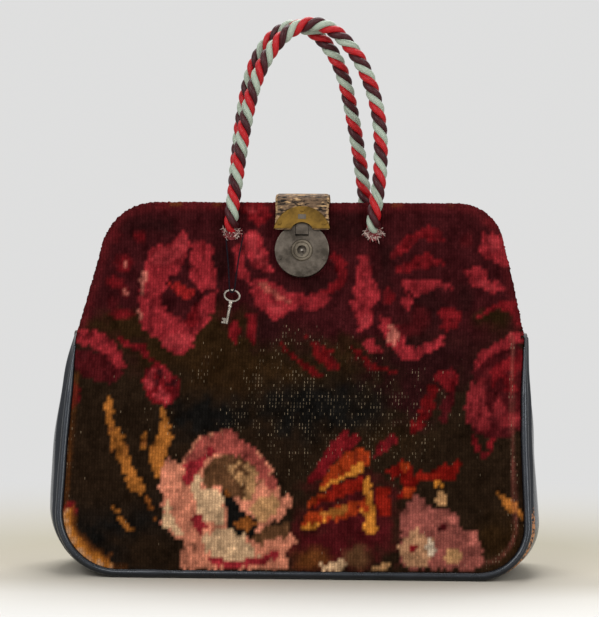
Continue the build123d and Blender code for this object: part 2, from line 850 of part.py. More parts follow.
with BuildPart() as hasp_plate:
    with BuildSketch(lock_face.offset(plate_level)):
        with Locations((0, plate_centre)):
            Circle(plate_radius)
        with Locations((0, plate_base + plate_radius / 2)):
            Rectangle(plate_radius + plate_radius, plate_radius, mode=Mode.INTERSECT)
    extrude(amount=plate_thick)
    chamfer(hasp_plate.faces().sort_by(Axis(lock_face.origin, lock_face.z_dir))[-1].edges(), plate_edge)
    add(hasp_holes(0), mode=Mode.SUBTRACT)
hasp_plate.part.label = "hasp_plate"
export_step(hasp_plate.part, "parts/hasp_plate.step")

with BuildPart() as hasp_tongue:
    with BuildSketch(lock_section):
        with Locations((tongue_tip + tongue_lip / 2, (lip_floor + strap_inner) / 2)):
            Rectangle(tongue_lip, strap_inner - lip_floor)
        with Locations(((tongue_tip + tongue_top) / 2, strap_inner - tongue_thick / 2)):
            Rectangle(tongue_top - tongue_tip, tongue_thick)
        with Locations((bolt_level, bolt_centre)):
            Rectangle(staple_hole, staple_hole, mode=Mode.SUBTRACT)
    extrude(amount=tongue_width / 2, both=True)
    with BuildSketch(lock_face.offset(strap_inner)):
        with Locations((0, tenon_level)):
            Rectangle(tenon_width, tenon_height)
    extrude(amount=strap_thick + plate_thick + tenon_rise)
hasp_tongue.part.label = "hasp_tongue"
export_step(hasp_tongue.part, "parts/hasp_tongue.step")

with BuildPart() as hasp_rivets:
    with BuildSketch(lock_face.offset(strap_inner)):
        with Locations(*hasp_rivet_places):
            Circle(hasp_rivet_radius)
    extrude(amount=strap_thick + plate_thick)
    with BuildSketch(lock_face.offset(plate_level + plate_thick)):
        with Locations(*hasp_rivet_places):
            Circle(hasp_rivet_head_radius)
    extrude(amount=hasp_rivet_head_rise)
hasp_rivets.part.label = "hasp_rivets"
export_step(hasp_rivets.part, "parts/hasp_rivets.step")

# Fixed end of the strap on the back jaw
with BuildPart() as strap_root:
    with BuildSketch(root_face) as root_sketch:
        with Locations((0, -root_drop - root_length / 2)):
            Rectangle(2 * strap_half_width, root_length)
        fillet(root_sketch.vertices().group_by(Axis.Y)[0], root_corner)
        with Locations(*root_rivet_places):
            Circle(lock_rivet_radius, mode=Mode.SUBTRACT)
    extrude(amount=strap_thick)
strap_root.part.label = "strap_root"
export_step(strap_root.part, "parts/strap_root.step")

with BuildPart() as strap_rivets:
    with BuildSketch(root_face.offset(inner_face - clench_gap)):
        with Locations(*root_rivet_places):
            Circle(lock_rivet_radius)
    extrude(amount=strap_thick + clench_gap - inner_face)
    with BuildSketch(root_face.offset(inner_face - clench_gap)):
        with Locations(*root_rivet_places):
            Circle(lock_rivet_head_radius)
    extrude(amount=-lock_rivet_head_rise)
    with BuildSketch(root_face.offset(strap_thick)):
        with Locations(*root_rivet_places):
            Circle(lock_rivet_head_radius)
    extrude(amount=lock_rivet_head_rise)
strap_rivets.part.label = "strap_rivets"
export_step(strap_rivets.part, "parts/strap_rivets.step")

# Key with an oval bow, turned shank and a bit, hanging flat against the front panel
key_rest = panel_plane(key_x, bag_top - key_bow_drop, -1).offset(key_stand)
key_face = Plane(key_rest.location * Rotation(0, 0, key_tilt))
shank_top = bow_wire / 2 - bow_half_height
shank_end = shank_top - shank_length

with BuildPart() as key:
    with BuildSketch(key_face):
        Ellipse(bow_half_width, bow_half_height)
        Ellipse(bow_half_width - bow_wire, bow_half_height - bow_wire, mode=Mode.SUBTRACT)
    extrude(amount=bow_wire / 2, both=True)
    with BuildSketch(key_face):
        with Locations((shank_radius / 2, (shank_top + shank_end) / 2)):
            Rectangle(shank_radius, shank_length)
        with Locations((collar_radius / 2, shank_top - collar_length)):
            Rectangle(collar_radius, collar_length)
        with Locations((collar_radius / 2, shank_top - collar_length - collar_pitch)):
            Rectangle(collar_radius, collar_length)
    revolve(axis=Axis(key_face.origin, key_face.y_dir))
    with BuildSketch(key_face):
        with Locations((-bit_width / 2, shank_end + bit_height / 2)):
            Rectangle(bit_width, bit_height)
        with Locations((-bit_width, shank_end + bit_height / 2)):
            Rectangle(bit_width / 2, bit_thick, mode=Mode.SUBTRACT)
    extrude(amount=bit_thick / 2, both=True)
key.part.label = "key"
export_step(key.part, "parts/key.step")

# String from the left eyelet through the key's bow and back, as width and height from the anchor
string_route = [
    (-6.5, -4), (-4.6, -20), (-3.3, -34), (-2.7, -43), (-2.4, -49.5), (-1.2, -53),
    (1.2, -53), (2.4, -49.5), (2.9, -43), (3.9, -33), (5.6, -18), (8.5, -2),
]
bow_clear = key_stand + bow_wire / 2 - eyelet_height
string_drop = key_bow_drop - anchor_drop - bow_half_height
string_lean = math.degrees(math.atan2(bow_clear + string_radius, string_drop))
string_face = panel_plane(key_x, anchor_height, -1).offset(eyelet_height + string_radius + string_touch)
print("string radii", [round(radius, 1) for radius in route_radii(string_route)])

with BuildPart() as key_string:
    with BuildLine(string_face.rotated((-string_lean, 0, 0))) as string_path:
        FilletPolyline(*string_route, radius=route_radii(string_route))
    with BuildSketch(Plane(string_path.line @ 0, z_dir=string_path.line % 0)):
        Circle(string_radius)
    sweep()
key_string.part.label = "key_string"
export_step(key_string.part, "parts/key_string.step")

print("front rope length", round(front_handle.part.volume / (math.pi * rope_radius**2)))
print("back rope length", round(back_handle.part.volume / (math.pi * rope_radius**2)))
print("string length", round(key_string.part.volume / (math.pi * string_radius**2)))
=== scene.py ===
import json
import math

import bpy
import numpy as np
from mathutils import Matrix, Vector


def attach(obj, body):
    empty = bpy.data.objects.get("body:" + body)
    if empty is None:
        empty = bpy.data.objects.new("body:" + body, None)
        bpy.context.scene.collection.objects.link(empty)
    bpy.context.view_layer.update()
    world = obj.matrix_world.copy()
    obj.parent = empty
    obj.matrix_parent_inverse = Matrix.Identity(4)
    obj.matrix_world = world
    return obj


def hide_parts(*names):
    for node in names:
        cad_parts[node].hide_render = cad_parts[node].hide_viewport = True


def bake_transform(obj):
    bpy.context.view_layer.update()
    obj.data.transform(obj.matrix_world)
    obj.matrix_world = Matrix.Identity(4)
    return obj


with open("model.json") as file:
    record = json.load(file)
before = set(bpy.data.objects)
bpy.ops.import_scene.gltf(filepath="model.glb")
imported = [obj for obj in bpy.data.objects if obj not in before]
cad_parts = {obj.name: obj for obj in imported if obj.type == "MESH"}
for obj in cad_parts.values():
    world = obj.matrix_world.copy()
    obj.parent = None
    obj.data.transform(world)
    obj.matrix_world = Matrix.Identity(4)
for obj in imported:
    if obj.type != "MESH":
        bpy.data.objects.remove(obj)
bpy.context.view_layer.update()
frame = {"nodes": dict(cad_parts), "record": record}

# Bag body in metres, the same values as the part's source
bag_top = 0.327
hinge_height = 0.208
base_half_width = 0.206
base_seam_half = 0.066
base_mid_half = 0.068
base_side_half = 0.219
rim_half_width = 0.199
rim_seam_half = 0.013
rim_mid_half = 0.032
rim_side_half = 0.2015
top_half_width = 0.169
top_seam_half = 0.013
top_mid_half = 0.0134
top_corner = 0.037
loft_half_width = 0.202
piping_radius = 0.0035
piping_lift = 0.0042
piping_corner = 0.044
piping_stop = 0.0155
tab_radius = 0.008
tab_tuck = 0.5
jaw_rise = bag_top - hinge_height
seam_rise = math.hypot(base_seam_half - rim_seam_half, hinge_height)
seam_lean = hinge_height / seam_rise
panel_lean = math.atan2(rim_mid_half - top_mid_half, jaw_rise)
lean_sin = math.sin(panel_lean)
lean_cos = math.cos(panel_lean)

# How the soft body has settled
base_drift = -0.006
drift_top = 0.29
drift_low = 0.1
left_bulge = 0.0058
right_bulge = -0.0006
right_swell = 0.0027
left_corner = 0.05
right_corner = 0.041
left_foot_corner = 0.054
sag_depth = 0.0012
sag_wave = 0.03
sag_start = 0.01
sag_foot_fade = 0.05
sag_top_fade = 0.06
pile_jitter = 0.00012
pile_fuzz = 0.0003
tuft_relief = 0.00025
face_roll = 0.003
wall_start = 0.2
wall_fade = 0.012
mouth_gap = 0.0009
floor_clear = 0.0003
crumple_depth = 0.0009
crumple_wave = 0.011
head_radius = 0.0042
head_sink = 0.0006
head_profile = ((-0.004, 1), (0, 1), (0.0006, 0.9), (0.0011, 0.6), (0.0013, 0.15))
piping_taper = 0.05
piping_wave = 0.006
welt_place = 0.0066
welt_width = 0.0022
welt_height = 0.0024
welt_fade = 0.03
rub_top = 0.075
rub_fade = 0.03
lining_gap = 0.0035
lining_rows = 24
lining_bands = 25
gusset_bands = 81

# Carpet weave, where its borders are worn, and where its top rim has a painted highlight
tuft_width = 0.00268
tuft_height = 0.00305
corner_rub_start = 0.004
corner_rub_fade = 0.009
right_line_place = 0.008
right_line_half = 0.0024
right_wear_half = 0.0035
left_line_start = 0.003
left_line_fade = 0.003
left_wear_fade = 0.006
top_rim_highlight_start = 0.002
top_rim_highlight_fade = 0.005

# Camera
photo_width = 599
photo_height = 617
camera_distance = 2.0
camera_height = 0.28
camera_azimuth = math.radians(2.5)
camera_tilt = math.radians(1.35)
camera_roll = math.radians(0.3)
camera_focus = 2244
camera_sidestep = -0.0029
sensor_width = 36


def camera_axes():
    """Place, right, up and forward directions of the camera."""
    right = np.array([math.cos(camera_azimuth), math.sin(camera_azimuth), 0])
    level = np.array([-math.sin(camera_azimuth), math.cos(camera_azimuth), 0])
    forward = level * math.cos(camera_tilt) - np.array([0, 0, math.sin(camera_tilt)])
    up = np.cross(right, forward)
    place = right * camera_sidestep - level * camera_distance + np.array([0, 0, camera_height])
    turn_cos, turn_sin = math.cos(camera_roll), math.sin(camera_roll)
    return place, right * turn_cos + up * turn_sin, up * turn_cos - right * turn_sin, forward


def photo_place(points):
    """Where points of the bag lie in the photograph, in its pixels."""
    place, right, up, forward = camera_axes()
    away = points - place
    depth = away @ forward
    across = photo_width / 2 + camera_focus * (away @ right) / depth
    down = photo_height / 2 - camera_focus * (away @ up) / depth
    return np.stack([across, down], axis=1)


def add_camera():
    """Camera at the photograph's viewing angle."""
    place, right, up, forward = camera_axes()
    data = bpy.data.cameras.new("camera")
    data.lens = camera_focus / photo_height * sensor_width
    data.sensor_width = sensor_width
    camera = bpy.data.objects.new("camera", data)
    axes = Matrix((right, up, -forward)).transposed().to_4x4()
    camera.matrix_world = Matrix.Translation(place) @ axes
    bpy.context.scene.collection.objects.link(camera)
    bpy.context.scene.camera = camera


add_camera()


# Mesh helpers
spline_steps = 32


def add_piece(name, points, faces, material, uv=None, smooth=True):
    """Mesh object from points and faces, with an optional place on the material for each point."""
    mesh = bpy.data.meshes.new(name)
    mesh.from_pydata([tuple(p) for p in points], [], faces)
    if uv is not None:
        layer = mesh.uv_layers.new(name="lay")
        corner = np.empty(len(mesh.loops), int)
        mesh.loops.foreach_get("vertex_index", corner)
        layer.data.foreach_set("uv", np.array(uv)[corner].ravel())
    mesh.polygons.foreach_set("use_smooth", [smooth] * len(mesh.polygons))
    for one in material if isinstance(material, list) else [material]:
        mesh.materials.append(one)
    mesh.update()
    piece = bpy.data.objects.new(name, mesh)
    bpy.context.scene.collection.objects.link(piece)
    return piece


def unit(vectors):
    """Vectors of length one."""
    return vectors / np.maximum(np.linalg.norm(vectors, axis=-1, keepdims=True), 1e-12)


def run_along(line):
    """Distance along a line at each of its points."""
    return np.concatenate([[0], np.cumsum(np.linalg.norm(np.diff(line, axis=0), axis=1))])


def carried_frames(path):
    """Two directions across a path that don't twist along it."""
    tangent = unit(np.gradient(path, axis=0))
    start = np.array([0.0, 1.0, 0.0])
    if abs(tangent[0] @ start) > 0.9:
        start = np.array([1.0, 0.0, 0.0])
    across = [unit(start - tangent[0] * (start @ tangent[0]))]
    for here in tangent[1:]:
        carried = across[-1] - here * (across[-1] @ here)
        across.append(unit(carried))
    across = np.array(across)
    return across, np.cross(tangent, across)


def grid_faces(rows, width, closed=False, flip=False):
    """Four-sided faces between rows of points, round a ring where the rows are closed."""
    faces = []
    for k in range(rows - 1):
        for c in range(width if closed else width - 1):
            after = (c + 1) % width
            here, above = k * width, (k + 1) * width
            if flip:
                faces.append((here + c, above + c, above + after, here + after))
            else:
                faces.append((here + c, here + after, above + after, above + c))
    return faces


def tube(path, radius, sides):
    """Points, faces and surface places of a tube along a path, closed by its end rings."""
    across, beside = carried_frames(path)
    radius = np.broadcast_to(radius, len(path))
    turn = np.linspace(0, 2 * np.pi, sides, endpoint=False)
    ring = np.cos(turn)[None, :, None] * across[:, None] + np.sin(turn)[None, :, None] * beside[:, None]
    points = (path[:, None] + ring * radius[:, None, None]).reshape(-1, 3)
    run = run_along(path)
    places = [(run[i], turn[k] / (2 * np.pi)) for i in range(len(path)) for k in range(sides)]
    faces = grid_faces(len(path), sides, closed=True)
    faces.append(tuple(range(sides))[::-1])
    faces.append(tuple((len(path) - 1) * sides + k for k in range(sides)))
    return points, faces, places


class Bundle:
    """Tubes gathered into one piece, each with its own material."""

    def __init__(self):
        self.points = []
        self.faces = []
        self.places = []
        self.tints = []

    def add(self, path, radius, sides, tint):
        """One more tube."""
        points, faces, places = tube(np.array(path), radius, sides)
        first = len(self.points)
        self.points += list(points)
        self.faces += [tuple(first + k for k in face) for face in faces]
        self.places += places
        self.tints += [tint] * len(faces)

    def piece(self, name, materials):
        """Mesh object of all the tubes."""
        piece = add_piece(name, self.points, self.faces, materials, self.places)
        piece.data.polygons.foreach_set("material_index", self.tints)
        return piece


def dress(piece, body, slot, *nodes):
    """Piece that rides one body in place of the solids of some nodes."""
    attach(piece, body)
    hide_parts(*nodes)


def add_route(name, route, steps):
    """Curve object with the smooth spline of a route."""
    curve = bpy.data.curves.new(name, "CURVE")
    curve.dimensions = "3D"
    spline = curve.splines.new("NURBS")
    spline.points.add(len(route) - 1)
    for point, place in zip(spline.points, route):
        point.co = (*place, 1)
    spline.order_u = 3
    spline.use_endpoint_u = True
    spline.resolution_u = steps
    piece = bpy.data.objects.new(name, curve)
    bpy.context.scene.collection.objects.link(piece)
    return piece


def route_line(route):
    """Points of the smooth spline of a route."""
    holder = add_route("route", route, spline_steps)
    curve = holder.data
    mesh = bpy.data.meshes.new_from_object(holder)
    line = np.array([v.co for v in mesh.vertices])
    bpy.data.objects.remove(holder)
    bpy.data.curves.remove(curve)
    bpy.data.meshes.remove(mesh)
    return line


def soft_noise(points, scale, seed):
    """Smooth waves over points, between about -1 and 1."""
    chance = np.random.default_rng(seed)
    total = np.zeros(len(points))
    for _ in range(6):
        direction = unit(chance.normal(size=3))
        pitch = chance.uniform(0.6, 1.6) / scale
        total += np.sin(points @ direction * pitch + chance.uniform(0, 2 * np.pi))
    return total / 3.5


# Relief of the materials in metres
pile_relief = 0.0008
grain_relief = 0.0003
crease_relief = 0.0016
crack_relief = 0.0012
flake_relief = 0.0004
scratch_relief = 0.00006
dent_relief = 0.0003
yarn_relief = 0.0005
fluff_relief = 0.0003
weave_relief = 0.0004
fleck_relief = 0.0003
lining_pitch = 0.0011


# Materials
class Surface:
    """Adds nodes to one material and links them."""

    def __init__(self, name, colour, roughness, metallic=0.0):
        self.material = bpy.data.materials.new(name)
        self.material.use_nodes = True
        self.tree = self.material.node_tree
        self.shader = self.tree.nodes["Principled BSDF"]
        self.shader.inputs["Base Color"].default_value = (*colour, 1)
        self.shader.inputs["Roughness"].default_value = roughness
        self.shader.inputs["Metallic"].default_value = metallic

    def set(self, **values):
        """Sets plain values on the shader."""
        for name, value in values.items():
            socket = name.replace("_", " ").title().replace("Ior", "IOR")
            self.shader.inputs[socket].default_value = value

    def node(self, kind, inputs=None, **settings):
        """New node, with settings and with inputs that are values or other nodes' outputs."""
        node = self.tree.nodes.new(kind)
        for name, value in settings.items():
            setattr(node, name, value)
        for key, value in (inputs or {}).items():
            if isinstance(value, bpy.types.NodeSocket):
                self.tree.links.new(value, node.inputs[key])
            else:
                node.inputs[key].default_value = value
        return node

    def link(self, name, output):
        """Feeds one input of the shader."""
        self.tree.links.new(output, self.shader.inputs[name])

    def place(self, stretch=(1, 1, 1), uv=False):
        """Surface coordinates, in metres unless they are the piece's own lay."""
        source = self.node("ShaderNodeTexCoord").outputs["UV" if uv else "Object"]
        return self.node("ShaderNodeMapping", {"Vector": source, "Scale": stretch}).outputs[0]

    def noise(self, scale, detail=4, place=None, rough=0.55):
        """Cloudy noise from 0 to 1."""
        inputs = {"Vector": place or self.place(), "Scale": scale, "Detail": detail, "Roughness": rough}
        return self.node("ShaderNodeTexNoise", inputs).outputs["Fac"]

    def cells(self, scale, place=None, feature="F1"):
        """Distance in a pattern of cells."""
        inputs = {"Vector": place or self.place(), "Scale": scale}
        return self.node("ShaderNodeTexVoronoi", inputs, feature=feature).outputs["Distance"]

    def math(self, operation, a, b=0.0):
        """Arithmetic on values and outputs."""
        return self.node("ShaderNodeMath", {0: a, 1: b}, operation=operation).outputs[0]

    def span(self, value, low, high, to_low=0.0, to_high=1.0):
        """Value moved from one range into another, clamped."""
        inputs = {0: value, 1: low, 2: high, 3: to_low, 4: to_high}
        return self.node("ShaderNodeMapRange", inputs).outputs[0]

    def mix(self, share, a, b, blend="MIX"):
        """Colour between two colours."""
        node = self.node("ShaderNodeMix", data_type="RGBA", blend_type=blend)
        for index, value in ((0, share), (6, a), (7, b)):
            if isinstance(value, bpy.types.NodeSocket):
                self.tree.links.new(value, node.inputs[index])
            else:
                node.inputs[index].default_value = value if index == 0 else (*value, 1)
        return node.outputs[2]

    def bump(self, height, distance, strength=1.0):
        """Relief of the surface, added to what is there."""
        node = self.node("ShaderNodeBump", {"Height": height, "Distance": distance, "Strength": strength})
        before = self.shader.inputs["Normal"].links
        if before:
            self.tree.links.new(before[0].from_socket, node.inputs["Normal"])
        self.link("Normal", node.outputs[0])


def carpet_surface():
    """Wool pile: a colour for each tuft, grooves between tufts with painted shade in them and bare threads
    where it is worn.
    """
    s = Surface("carpet_pile", (0.05, 0.02, 0.015), 0.95)
    s.set(specular_ior_level=0.0, sheen_weight=0.006, sheen_roughness=0.5)
    pile = s.node("ShaderNodeAttribute", attribute_name="pile")
    lay = s.node("ShaderNodeSeparateXYZ", {0: s.place(uv=True)})
    across = s.math("FRACT", lay.outputs[0])
    along = s.math("FRACT", lay.outputs[1])
    cell = s.node("ShaderNodeCombineXYZ", {
        0: s.math("FLOOR", lay.outputs[0]),
        1: s.math("FLOOR", lay.outputs[1]),
    })
    chance = s.node("ShaderNodeTexWhiteNoise", {"Vector": cell.outputs[0]}, noise_dimensions="3D")
    side = s.math("ABSOLUTE", s.math("SUBTRACT", across, 0.5))
    end = s.math("ABSOLUTE", s.math("SUBTRACT", along, 0.5))
    crown = s.math("MULTIPLY", s.span(side, 0.5, 0.12), s.span(end, 0.5, 0.2, 0.45, 1))
    fibre = s.noise(2600, 3)
    height = s.math("ADD", s.math("MULTIPLY", crown, 0.75), s.math("MULTIPLY", fibre, 0.45))
    plush = s.noise(800, 2)
    own = s.span(chance.outputs["Value"], 0, 1, 0.84, 1.16)
    # Darker towards the grooves between tufts: painted shade, times a random tone for each tuft
    light = s.math("MULTIPLY", s.span(height, 0.1, 0.9, 0.8, 1.12), own)
    light = s.math("MULTIPLY", light, s.span(plush, 0.3, 0.7, 0.8, 1.2))
    groove_shade_and_tone = s.node("ShaderNodeCombineColor", {0: light, 1: light, 2: light})
    wool = s.mix(1.0, pile.outputs["Color"], groove_shade_and_tone.outputs[0], "MULTIPLY")
    thread = s.math("MULTIPLY", s.span(across, 0.72, 0.84), s.span(end, 0.4, 0.26))
    draw = s.node("ShaderNodeSeparateColor", {0: chance.outputs["Color"]}).outputs[1]
    bare = s.math("LESS_THAN", draw, pile.outputs["Alpha"])
    pale = s.span(s.math("POWER", chance.outputs["Value"], 1.8), 0, 1, 0.06, 0.45)
    worn = s.math("MULTIPLY", s.math("MULTIPLY", thread, bare), pale)
    s.link("Base Color", s.mix(worn, wool, (0.36, 0.27, 0.17)))
    s.bump(height, pile_relief, 0.6)
    return s.material


def leather_surface(name, colour, rub_colour, rub_low, gloss):
    """Polished leather with fine grain, creases and rubbed places."""
    s = Surface(name, colour, 0.3)
    s.set(specular_ior_level=0.35, specular_tint=(0.8, 0.88, 1.0, 1.0))
    s.set(coat_weight=gloss, coat_roughness=0.1)
    grain = s.cells(900)
    crease = s.noise(60, 6, s.place((1, 1, 0.4)), 0.65)
    flake = s.noise(420, 6, rough=0.7)
    scuff = s.node("ShaderNodeAttribute", attribute_name="rub").outputs["Fac"]
    rub = s.span(s.noise(38, 8, rough=0.7), rub_low, rub_low + 0.08)
    rub = s.math("MAXIMUM", rub, s.span(s.math("MULTIPLY", scuff, s.span(flake, 0.36, 0.62)), 0.3, 0.5))
    # Darker in the creases: painted shade
    shade = s.mix(s.span(crease, 0.35, 0.7), tuple(0.6 * c for c in colour), tuple(1.7 * c for c in colour))
    s.link("Base Color", s.mix(rub, shade, rub_colour))
    s.link("Roughness", s.span(crease, 0.3, 0.7, 0.2, 0.42))
    s.bump(grain, grain_relief, 0.3)
    s.bump(crease, crease_relief, 0.4)
    return s.material


def strap_surface():
    """Dark strap leather, cracked across and tan where the finish has gone."""
    s = Surface("strap_crackle", (0.05, 0.032, 0.02), 0.6)
    s.set(specular_ior_level=0.15)
    lay = s.place((0.28, 1, 1))
    ridge = s.noise(520, 3, lay, 0.6)
    patch = s.noise(130, 3, s.place((0.7, 1, 1)), 0.6)
    crack = s.span(ridge, 0.47, 0.4)
    gone = s.span(s.math("ADD", ridge, s.math("MULTIPLY", s.math("SUBTRACT", patch, 0.5), 0.9)), 0.56, 0.66)
    edge = s.node("ShaderNodeAttribute", attribute_name="edge").outputs["Fac"]
    tan = s.math("MAXIMUM", gone, s.math("MULTIPLY", edge, s.span(s.noise(500, 4), 0.3, 0.5)))
    hide = s.mix(s.noise(300, 5), (0.035, 0.022, 0.013), (0.28, 0.175, 0.105))
    worn = s.mix(s.noise(420, 4), (0.3, 0.18, 0.08), (0.66, 0.43, 0.22))
    s.link("Base Color", s.mix(crack, s.mix(tan, hide, worn), (0.008, 0.006, 0.005)))
    s.bump(s.span(ridge, 0.35, 0.65), crack_relief, 0.9)
    s.bump(s.noise(700, 5), flake_relief, 0.5)
    return s.material


def metal_surface(name, bright, dull, roughness, spots):
    """Old metal: cloudy tarnish, fine scratches and small dark spots."""
    s = Surface(name, bright, roughness, 1.0)
    cloud = s.noise(70, 6, rough=0.65)
    scratch = s.noise(900, 3, s.place((1, 1, 0.12)))
    spot = s.span(s.noise(330, 6, rough=0.75), spots, spots + 0.12)
    base = s.mix(s.span(cloud, 0.38, 0.62), dull, bright)
    s.link("Base Color", s.mix(spot, base, tuple(0.35 * c for c in dull)))
    cloudy = s.span(cloud, 0.3, 0.7, roughness + 0.16, roughness)
    s.link("Roughness", s.math("ADD", cloudy, s.span(scratch, 0.4, 0.8, 0, 0.08)))
    s.bump(scratch, scratch_relief, 0.35)
    s.bump(cloud, dent_relief, 0.15)
    return s.material


def strand_surface(name, colour, dark, shine=1.0):
    """Satin yarn of a rope strand: fine lines along it and a soft shine."""
    s = Surface(name, colour, 0.42)
    s.set(specular_ior_level=0.22 * shine, coat_weight=0.1 * shine, coat_roughness=0.18)
    lay = s.node("ShaderNodeSeparateXYZ", {0: s.place((1, 1, 1), uv=True)})
    around = s.math("MULTIPLY", lay.outputs[1], 14.0)
    line = s.math("ADD", around, s.math("MULTIPLY", lay.outputs[0], 260.0))
    yarn = s.math("ABSOLUTE", s.math("SUBTRACT", s.math("FRACT", line), 0.5))
    fluff = s.noise(700, 5, rough=0.7)
    # Darker in the grooves between the yarns: painted shade; the fluff varies the tone at random
    shade = s.math("ADD", s.span(yarn, 0.05, 0.4, 0.25, 0.8), s.span(fluff, 0.3, 0.75, -0.25, 0.25))
    s.link("Base Color", s.mix(shade, dark, colour))
    s.link("Roughness", s.span(fluff, 0.3, 0.7, 0.34, 0.6))
    s.bump(yarn, yarn_relief, 0.7)
    s.bump(fluff, fluff_relief, 0.4)
    return s.material


def cloth_surface(name, colour, pitch):
    """Plain woven cloth."""
    s = Surface(name, colour, 0.9)
    s.set(specular_ior_level=0.2, sheen_weight=0.1)
    place = s.node("ShaderNodeSeparateXYZ", {0: s.place((1 / pitch, 1 / pitch, 1 / pitch))})
    warp = s.math("SINE", s.math("MULTIPLY", place.outputs[0], math.pi))
    weft = s.math("SINE", s.math("MULTIPLY", s.math("ADD", place.outputs[2], place.outputs[1]), math.pi))
    weave = s.math("MULTIPLY", warp, weft)
    stain = s.noise(22, 6)
    # Darker in the hollows of the weave: painted shade; the stains are the cloth's own
    shade = s.math("ADD", s.span(weave, -1, 1, 0, 0.4), s.span(stain, 0.3, 0.7, 0, 0.6))
    s.link("Base Color", s.mix(shade, tuple(0.6 * c for c in colour), colour))
    s.bump(weave, weave_relief, 0.5)
    return s.material


def board_surface():
    """Pressed board with flecks."""
    s = Surface("pressed_board", (0.42, 0.34, 0.25), 0.85)
    fleck = s.noise(450, 6, s.place((0.3, 1, 1)), 0.7)
    s.link("Base Color", s.mix(s.span(fleck, 0.35, 0.7), (0.3, 0.23, 0.16), (0.46, 0.38, 0.28)))
    s.bump(fleck, fleck_relief, 0.4)
    return s.material


carpet_pile = carpet_surface()
gusset_leather = leather_surface("gusset_leather", (0.003, 0.0035, 0.005), (0.42, 0.18, 0.07), 0.74, 0.25)
piping_leather = leather_surface("piping_leather", (0.003, 0.0035, 0.005), (0.12, 0.07, 0.04), 0.76, 0.3)
strap_leather = strap_surface()
lock_nickel = metal_surface("lock_nickel", (0.135, 0.112, 0.09), (0.046, 0.038, 0.03), 0.27, 0.68)
hasp_brass = metal_surface("hasp_brass", (0.19, 0.108, 0.023), (0.075, 0.043, 0.012), 0.34, 0.62)
boss_steel = metal_surface("boss_steel", (0.19, 0.16, 0.12), (0.07, 0.057, 0.042), 0.28, 0.66)
frame_steel = metal_surface("frame_steel", (0.13, 0.12, 0.11), (0.06, 0.05, 0.045), 0.45, 0.66)
key_steel = metal_surface("key_steel", (0.42, 0.38, 0.33), (0.12, 0.1, 0.08), 0.25, 0.62)
rope_red = strand_surface("rope_red", (0.5, 0.008, 0.012), (0.26, 0.003, 0.006))
rope_maroon = strand_surface("rope_maroon", (0.06, 0.004, 0.007), (0.02, 0.002, 0.003))
rope_pale = strand_surface("rope_pale", (0.46, 0.53, 0.43), (0.2, 0.25, 0.19))
rope_end = strand_surface("rope_end", (0.22, 0.03, 0.035), (0.06, 0.008, 0.01))
fray_thread = strand_surface("fray_thread", (0.72, 0.6, 0.53), (0.45, 0.25, 0.22))
fray_red = strand_surface("fray_red", (0.3, 0.03, 0.035), (0.12, 0.01, 0.012))
black_string = strand_surface("black_string", (0.008, 0.009, 0.015), (0.003, 0.004, 0.006), 0.2)
lining_cloth = cloth_surface("lining_cloth", (0.36, 0.31, 0.24), lining_pitch)
pressed_board = board_surface()

slot_surfaces = {
    "carpet": carpet_pile,
    "gusset_leather": gusset_leather,
    "piping_leather": piping_leather,
    "strap_leather": strap_leather,
    "lining_cloth": lining_cloth,
    "board": pressed_board,
    "frame_steel": frame_steel,
    "lock_nickel": lock_nickel,
    "hasp_brass": hasp_brass,
    "rope": rope_red,
    "rope_end": rope_end,
    "stitching": fray_thread,
    "key_steel": key_steel,
    "string": black_string,
}
for subpart in frame["record"]["subparts"]:
    node = frame["nodes"][subpart["node"]]
    node.data.materials.clear()
    node.data.materials.append(slot_surfaces[subpart["material_slot"]])
node_surfaces = {"hasp_tongue": lock_nickel, "lock_boss": boss_steel, "lock_drill_pin": key_steel}
for name, surface in node_surfaces.items():
    frame["nodes"][name].data.materials[0] = surface


# Shape of the panels
def arc_depth(x, half, mid, seam):
    """Depth of a bowed section at a place along its width."""
    bow = mid - seam
    radius = (half**2 + bow**2) / (bow + bow)
    return mid - (radius - np.sqrt(radius**2 - x**2))


def face_depth(x, z):
    """Depth of the front face, below and above the hinge."""
    base = arc_depth(x, base_half_width, base_mid_half, base_seam_half)
    rim = arc_depth(x, rim_half_width, rim_mid_half, rim_seam_half)
    low = base + (rim - base) * z / hinge_height
    rim = arc_depth(x, loft_half_width, rim_mid_half, rim_seam_half)
    top = arc_depth(x, loft_half_width, top_mid_half, top_seam_half)
    high = rim + (top - rim) * (z - hinge_height) / jaw_rise
    return np.where(z < hinge_height, low, high)


def drift(z):
    """Sideways settling of the soft body below its stiff mouth."""
    level = np.clip((drift_top - z) / (drift_top - drift_low), 0, 1)
    return base_drift * level * level * (3 - 2 * level)


def outline(inset, corner=top_corner, foot_corner=piping_corner):
    """Dense right half of the panel's outline from the bottom middle to the top middle."""
    radius = foot_corner - inset
    foot = piping_lift + inset
    slope = (base_half_width - rim_half_width) / seam_rise
    centre_rise = foot + radius
    centre_x = base_half_width - slope * centre_rise - inset - radius
    turn = np.linspace(0, math.pi / 2, 90)
    points = [(x, foot * seam_lean) for x in np.linspace(0, centre_x, 300)]
    for a in turn:
        rise = centre_rise - radius * math.cos(a)
        points.append((centre_x + radius * math.sin(a), rise * seam_lean))
    slope = (top_half_width - rim_half_width) / jaw_rise
    face_turn = math.atan(-slope)
    radius = corner - inset
    centre_z = bag_top - corner
    line_x = rim_half_width + slope * (centre_z - hinge_height)
    centre_x = line_x - corner / math.cos(face_turn)
    start = (centre_x + radius * math.cos(face_turn), centre_z + radius * math.sin(face_turn))
    for target, steps in (((rim_half_width - inset, hinge_height), 300), (start, 200)):
        points += list(map(tuple, np.linspace(points[-1], target, steps)[1:]))
    turn = np.linspace(face_turn, math.pi / 2, 90)
    points += [(centre_x + radius * math.cos(a), centre_z + radius * math.sin(a)) for a in turn[1:]]
    points += [(x, bag_top - inset) for x in np.linspace(centre_x, 0, 300)[1:]]
    return np.array(points)


